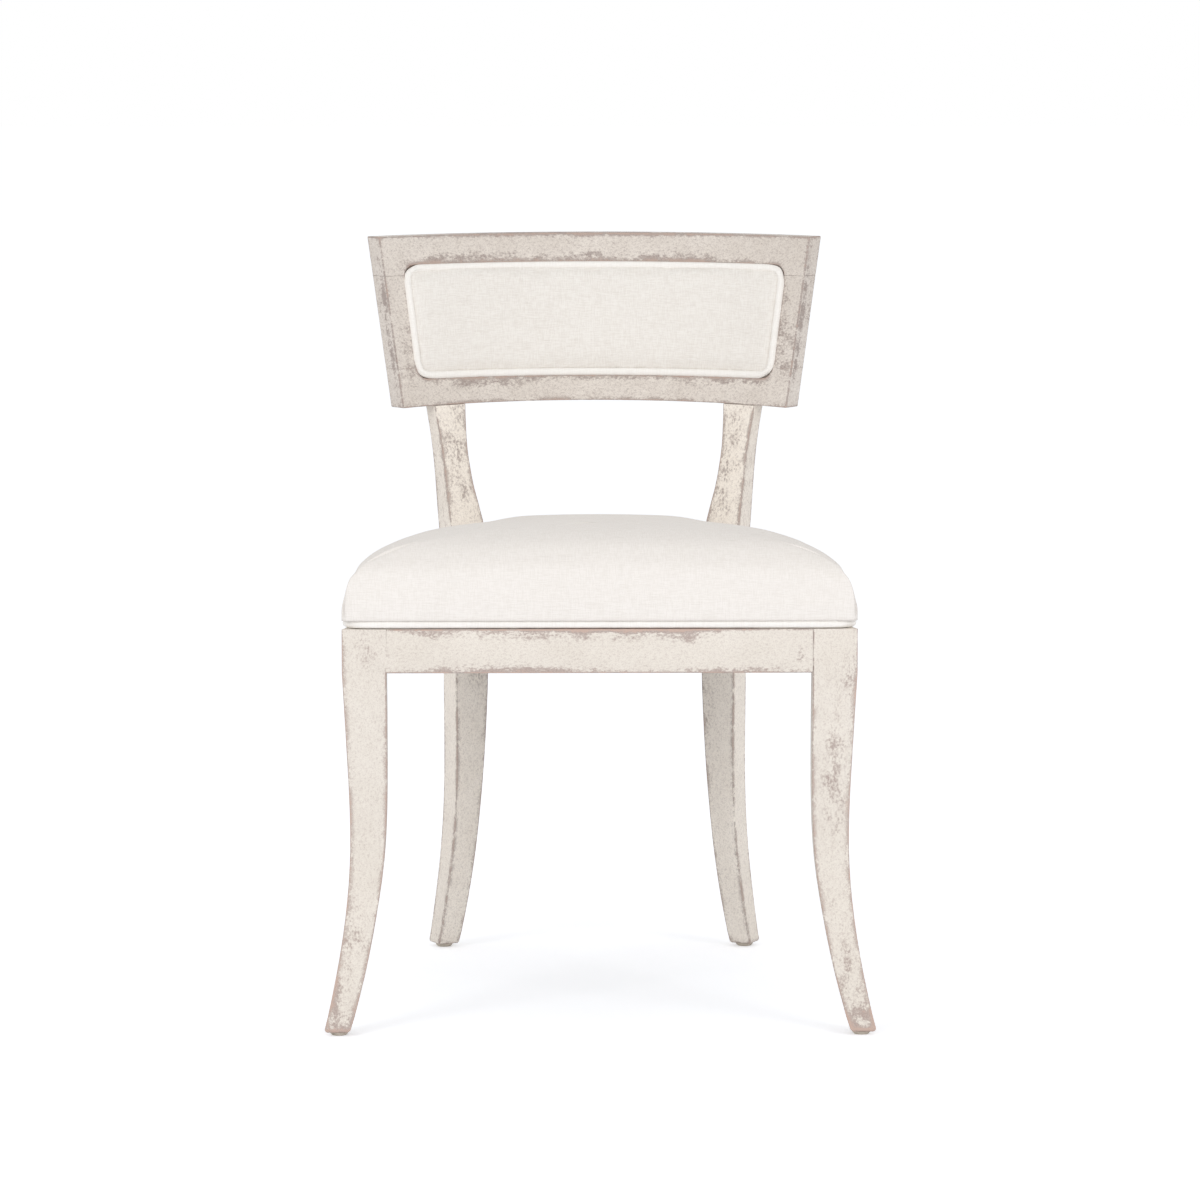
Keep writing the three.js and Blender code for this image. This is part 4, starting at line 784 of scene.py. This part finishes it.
# Settles the lower edge onto the welt and the crown a little lower
def settleSkin(piece):
    for vertex in piece.data.vertices:
        share = 1 - min(1.0, (vertex.co.z - seatLow[2]) / seatShape["sunkUpTo"])
        vertex.co.z -= seatShape["sunk"] * share
        level = vertex.co.z + seatShape["climb"] * vertex.co.y
        crown = min(1.0, max(0.0, (level - seatShape["crownFrom"]) / seatShape["crownOver"]))
        vertex.co.z -= seatShape["lowered"] * crown * crown * (3 - 2 * crown)


# Paints shade into the linen along the lower edge, in the crease where it is sewn to the welt
def paintSeamShade(piece):
    seamShade = piece.data.attributes.new("seamShade", "FLOAT", "POINT")
    for k, vertex in enumerate(piece.data.vertices):
        away = abs(vertex.co.z - seatLow[2] + seatShape["sunk"])
        seamShade.data[k].value = seatShape["seamShadeStrength"] * max(0.0, 1 - away / seatShape["seamShadeHalfWidth"])


cushion = copyNode("seat_cover", "seat_cushion")
closeCover(cushion, (0.0, 0.0, seatLow[2] - seatShape["under"]))
lowerRear(cushion)
roundSkin(cushion, seatShape["sharp"], seatShape["levels"], seatLow[2] + seatShape["hold"])
drawIn(cushion, seatShape)
inflate(cushion, seatShape, aboveBase)
widen(cushion, seatShape)
easeSkin(cushion)
finishSoft(cushion, 1)
settleSkin(cushion)
paintSeamShade(cushion)
for side in (-1, 1):
    sewCorner(cushion, side, cornerSeam)
cushion.data.materials.append(seatLinen)
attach(cushion, "root")
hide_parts("seat_cover", "seat_foam")

padShape = {"voxel": 0.003, "smoothing": 3, "pressure": 3.0, "frames": 16, "cap": 0.0025, "relax": 2,
            "wider": 0.0078, "taller": 0.0072}
padLow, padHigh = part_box("back_panel_foam")
pad = copyNode("back_panel_foam", "back_pad")
cover = copyNode("back_panel_cover", "back_pad_cover")
selectOnly(pad)
cover.select_set(True)
bpy.ops.object.join()
cleanMesh(pad)
remesh = pad.modifiers.new("remesh", "REMESH")
remesh.mode = "VOXEL"
remesh.voxel_size = padShape["voxel"]
smooth = pad.modifiers.new("smooth", "SMOOTH")
smooth.iterations = padShape["smoothing"]
smooth.factor = 0.5
applyAll(pad)
inflate(pad, padShape, lambda point: 1.0)
spreadPiece(pad, padLow, padHigh, padShape)
finishSoft(pad, 1)
pad.data.materials.append(backLinen)
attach(pad, "root")
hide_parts("back_panel_cover", "back_panel_foam")


pipingShape = {"sharp": 65, "levels": 2, "smooth": 60, "fadeTo": 0.1, "fadeOver": 0.2}


# Round, even piping from the faceted cord, laid a little wider at the front or about the back's axis
def roundPiping(node, name, proud, wider=0.0, turn=0.0, stretch=0.0):
    piece = copyNode(node, name)
    cleanMesh(piece)
    creaseSharp(piece, pipingShape["sharp"])
    finer = piece.modifiers.new("finer", "SUBSURF")
    finer.levels = pipingShape["levels"]
    fuller = piece.modifiers.new("fuller", "DISPLACE")
    fuller.strength = proud
    fuller.mid_level = 0
    applyAll(piece)
    low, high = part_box(node)
    for vertex in piece.data.vertices:
        forward = (pipingShape["fadeTo"] - vertex.co.y) / pipingShape["fadeOver"]
        vertex.co.x *= 1 + wider * min(1.0, max(0.0, forward))
        if turn:
            spreadRound(vertex.co, (low[2] + high[2]) / 2, turn, stretch)
    smoothByAngle(piece, pipingShape["smooth"])
    piece.data.materials.append(weltLinen)
    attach(piece, "root")
    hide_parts(node)


roundPiping("seat_welt_front", "seat_piping_front", 0.0002, wider=0.022)
roundPiping("seat_welt_rear", "seat_piping_rear", 0.0002)
roundPiping("back_panel_welt", "back_piping", 0.0005, turn=0.011, stretch=0.016)
roundPiping("outside_back_welt", "outside_back_piping", 0.0003)

outsideShape = {"wider": 0.0026, "taller": 0.0024, "smooth": 40}
outside = copyNode("outside_back_cover", "outside_back_linen")
cleanMesh(outside)
outsideLow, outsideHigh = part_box("outside_back_cover")
spreadPiece(outside, outsideLow, outsideHigh, outsideShape)
smoothByAngle(outside, outsideShape["smooth"])
outside.data.materials.append(backLinen)
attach(outside, "root")
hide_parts("outside_back_cover")

print("stage: hidden parts")


def plainMaterial(name, colour, darker, scale, stretch, roughness, metallic=0.0, bump=0.2):
    material, tree, shader = newMaterial(name, {"Roughness": roughness, "Metallic": metallic})
    place = addNode(tree, "ShaderNodeTexCoord").outputs["Object"]
    grain = noise(tree, place, scale, 5.0, 0.6, stretch)
    link(tree, mixColours(tree, stepUp(tree, grain, 0.35, 0.65), colour, darker), shader.inputs["Base Color"])
    addBump(tree, shader, grain, bump)
    return material


bareWood = plainMaterial("bare birch", rgb(206, 178, 140), rgb(178, 146, 106), 6.0, (2, 14, 14), 0.6)
steel = plainMaterial("zinc steel", rgb(180, 180, 178), rgb(140, 140, 138), 300.0, None, 0.35, 1.0)
glideNylon = plainMaterial("glide nylon", rgb(206, 196, 182), rgb(186, 176, 162), 90.0, None, 0.55)
jute = plainMaterial("jute webbing", rgb(190, 164, 122), rgb(142, 116, 80), 1.0, (700, 90, 90), 0.95,
                     bump=0.6)
cambric = plainMaterial("black cambric", rgb(46, 45, 46), rgb(28, 28, 29), 1.0, (800, 800, 60), 0.95,
                        bump=0.4)
finishByStart = [
    ("corner_block", bareWood), ("seat_frame", bareWood), ("crest_tenon", bareWood),
    ("back_panel_board", paints["crest"][0]), ("outside_back_board", bareWood), ("seat_screw", steel),
    ("block_screw", steel), ("glide", glideNylon),
]
for node, piece in nodes.items():
    for start, finish in finishByStart:
        if node.startswith(start):
            piece.data.materials.clear()
            piece.data.materials.append(finish)

sheetSmooth = 30


def softSheet(node, name, finish):
    piece = copyNode(node, name)
    cleanMesh(piece)
    smoothByAngle(piece, sheetSmooth)
    piece.data.materials.append(finish)
    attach(piece, "root")
    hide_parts(node)


for node in list(nodes):
    if node.startswith("webbing"):
        softSheet(node, node + ".jute", jute)
softSheet("dust_cover", "dust_cover.cambric", cambric)

print("stage: floor, light and camera")
white = (1.0, 1.0, 1.0, 1.0)
floorShape = {"size": 40, "colour": (0.90, 0.915, 0.95, 1.0), "lift": 0.337}
studio = {"ambient": 0.74, "seen": 1.0}


def layFloor():
    bpy.ops.mesh.primitive_plane_add(size=floorShape["size"])
    floor = bpy.context.active_object
    floor.name = "floor"
    floorMaterial = bpy.data.materials.new("pale floor")
    floorMaterial.use_nodes = True
    floorTree = floorMaterial.node_tree
    floorTree.nodes.clear()
    diffuse = addNode(floorTree, "ShaderNodeBsdfDiffuse", {"Color": floorShape["colour"]})
    lift = addNode(floorTree, "ShaderNodeEmission", {"Color": white})
    rays = addNode(floorTree, "ShaderNodeLightPath")
    lifted = mathNode(floorTree, "MULTIPLY", rays.outputs["Is Camera Ray"], floorShape["lift"])
    link(floorTree, lifted, lift.inputs["Strength"])
    both = addNode(floorTree, "ShaderNodeAddShader")
    link(floorTree, diffuse.outputs[0], both.inputs[0])
    link(floorTree, lift.outputs[0], both.inputs[1])
    surface = addNode(floorTree, "ShaderNodeOutputMaterial")
    link(floorTree, both.outputs[0], surface.inputs["Surface"])
    floor.data.materials.append(floorMaterial)


def lightWorld():
    world = bpy.context.scene.world or bpy.data.worlds.new("studio")
    bpy.context.scene.world = world
    world.use_nodes = True
    sky = world.node_tree
    sky.nodes.clear()
    ambient = addNode(sky, "ShaderNodeBackground", {"Color": white, "Strength": studio["ambient"]})
    seen = addNode(sky, "ShaderNodeBackground", {"Color": white, "Strength": studio["seen"]})
    rays = addNode(sky, "ShaderNodeLightPath")
    shown = mathNode(sky, "MAXIMUM", rays.outputs["Is Camera Ray"], rays.outputs["Is Glossy Ray"])
    shown = mathNode(sky, "MAXIMUM", shown, rays.outputs["Is Transmission Ray"])
    choose = addNode(sky, "ShaderNodeMixShader")
    link(sky, shown, choose.inputs[0])
    link(sky, ambient.outputs[0], choose.inputs[1])
    link(sky, seen.outputs[0], choose.inputs[2])
    worldOutput = addNode(sky, "ShaderNodeOutputWorld")
    link(sky, choose.outputs[0], worldOutput.inputs["Surface"])


def addLamp(name, place, aim, size, power):
    bpy.ops.object.light_add(type="AREA", location=place)
    lamp = bpy.context.active_object
    lamp.name = name
    lamp.data.size = size
    lamp.data.energy = power
    lamp.rotation_euler = (Vector(aim) - Vector(place)).to_track_quat("-Z", "Y").to_euler()


layFloor()
lightWorld()
addLamp("key", (-2.9, -3.2, 1.9), (0.0, 0.0, 0.35), 1.5, 40)
addLamp("fill", (2.9, -3.0, 1.7), (0.0, 0.0, 0.35), 1.5, 33)
addLamp("low", (0.0, -4.6, 0.3), (0.0, 0.0, 0.3), 1.6, 16)

view = {"place": (-0.085, -7.0203, 1.2636), "pitch": 6.8428, "yaw": 0.722, "lens": 195.0, "sensor": 36.0,
        "far": 100.0}


def placeCamera():
    bpy.ops.object.camera_add(location=view["place"])
    camera = bpy.context.active_object
    camera.name = "camera"
    camera.rotation_euler = (math.radians(90 - view["pitch"]), 0.0, math.radians(-view["yaw"]))
    camera.data.lens = view["lens"]
    camera.data.sensor_width = view["sensor"]
    camera.data.clip_end = view["far"]
    bpy.context.scene.camera = camera


placeCamera()
bpy.context.scene.view_settings.view_transform = "Standard"
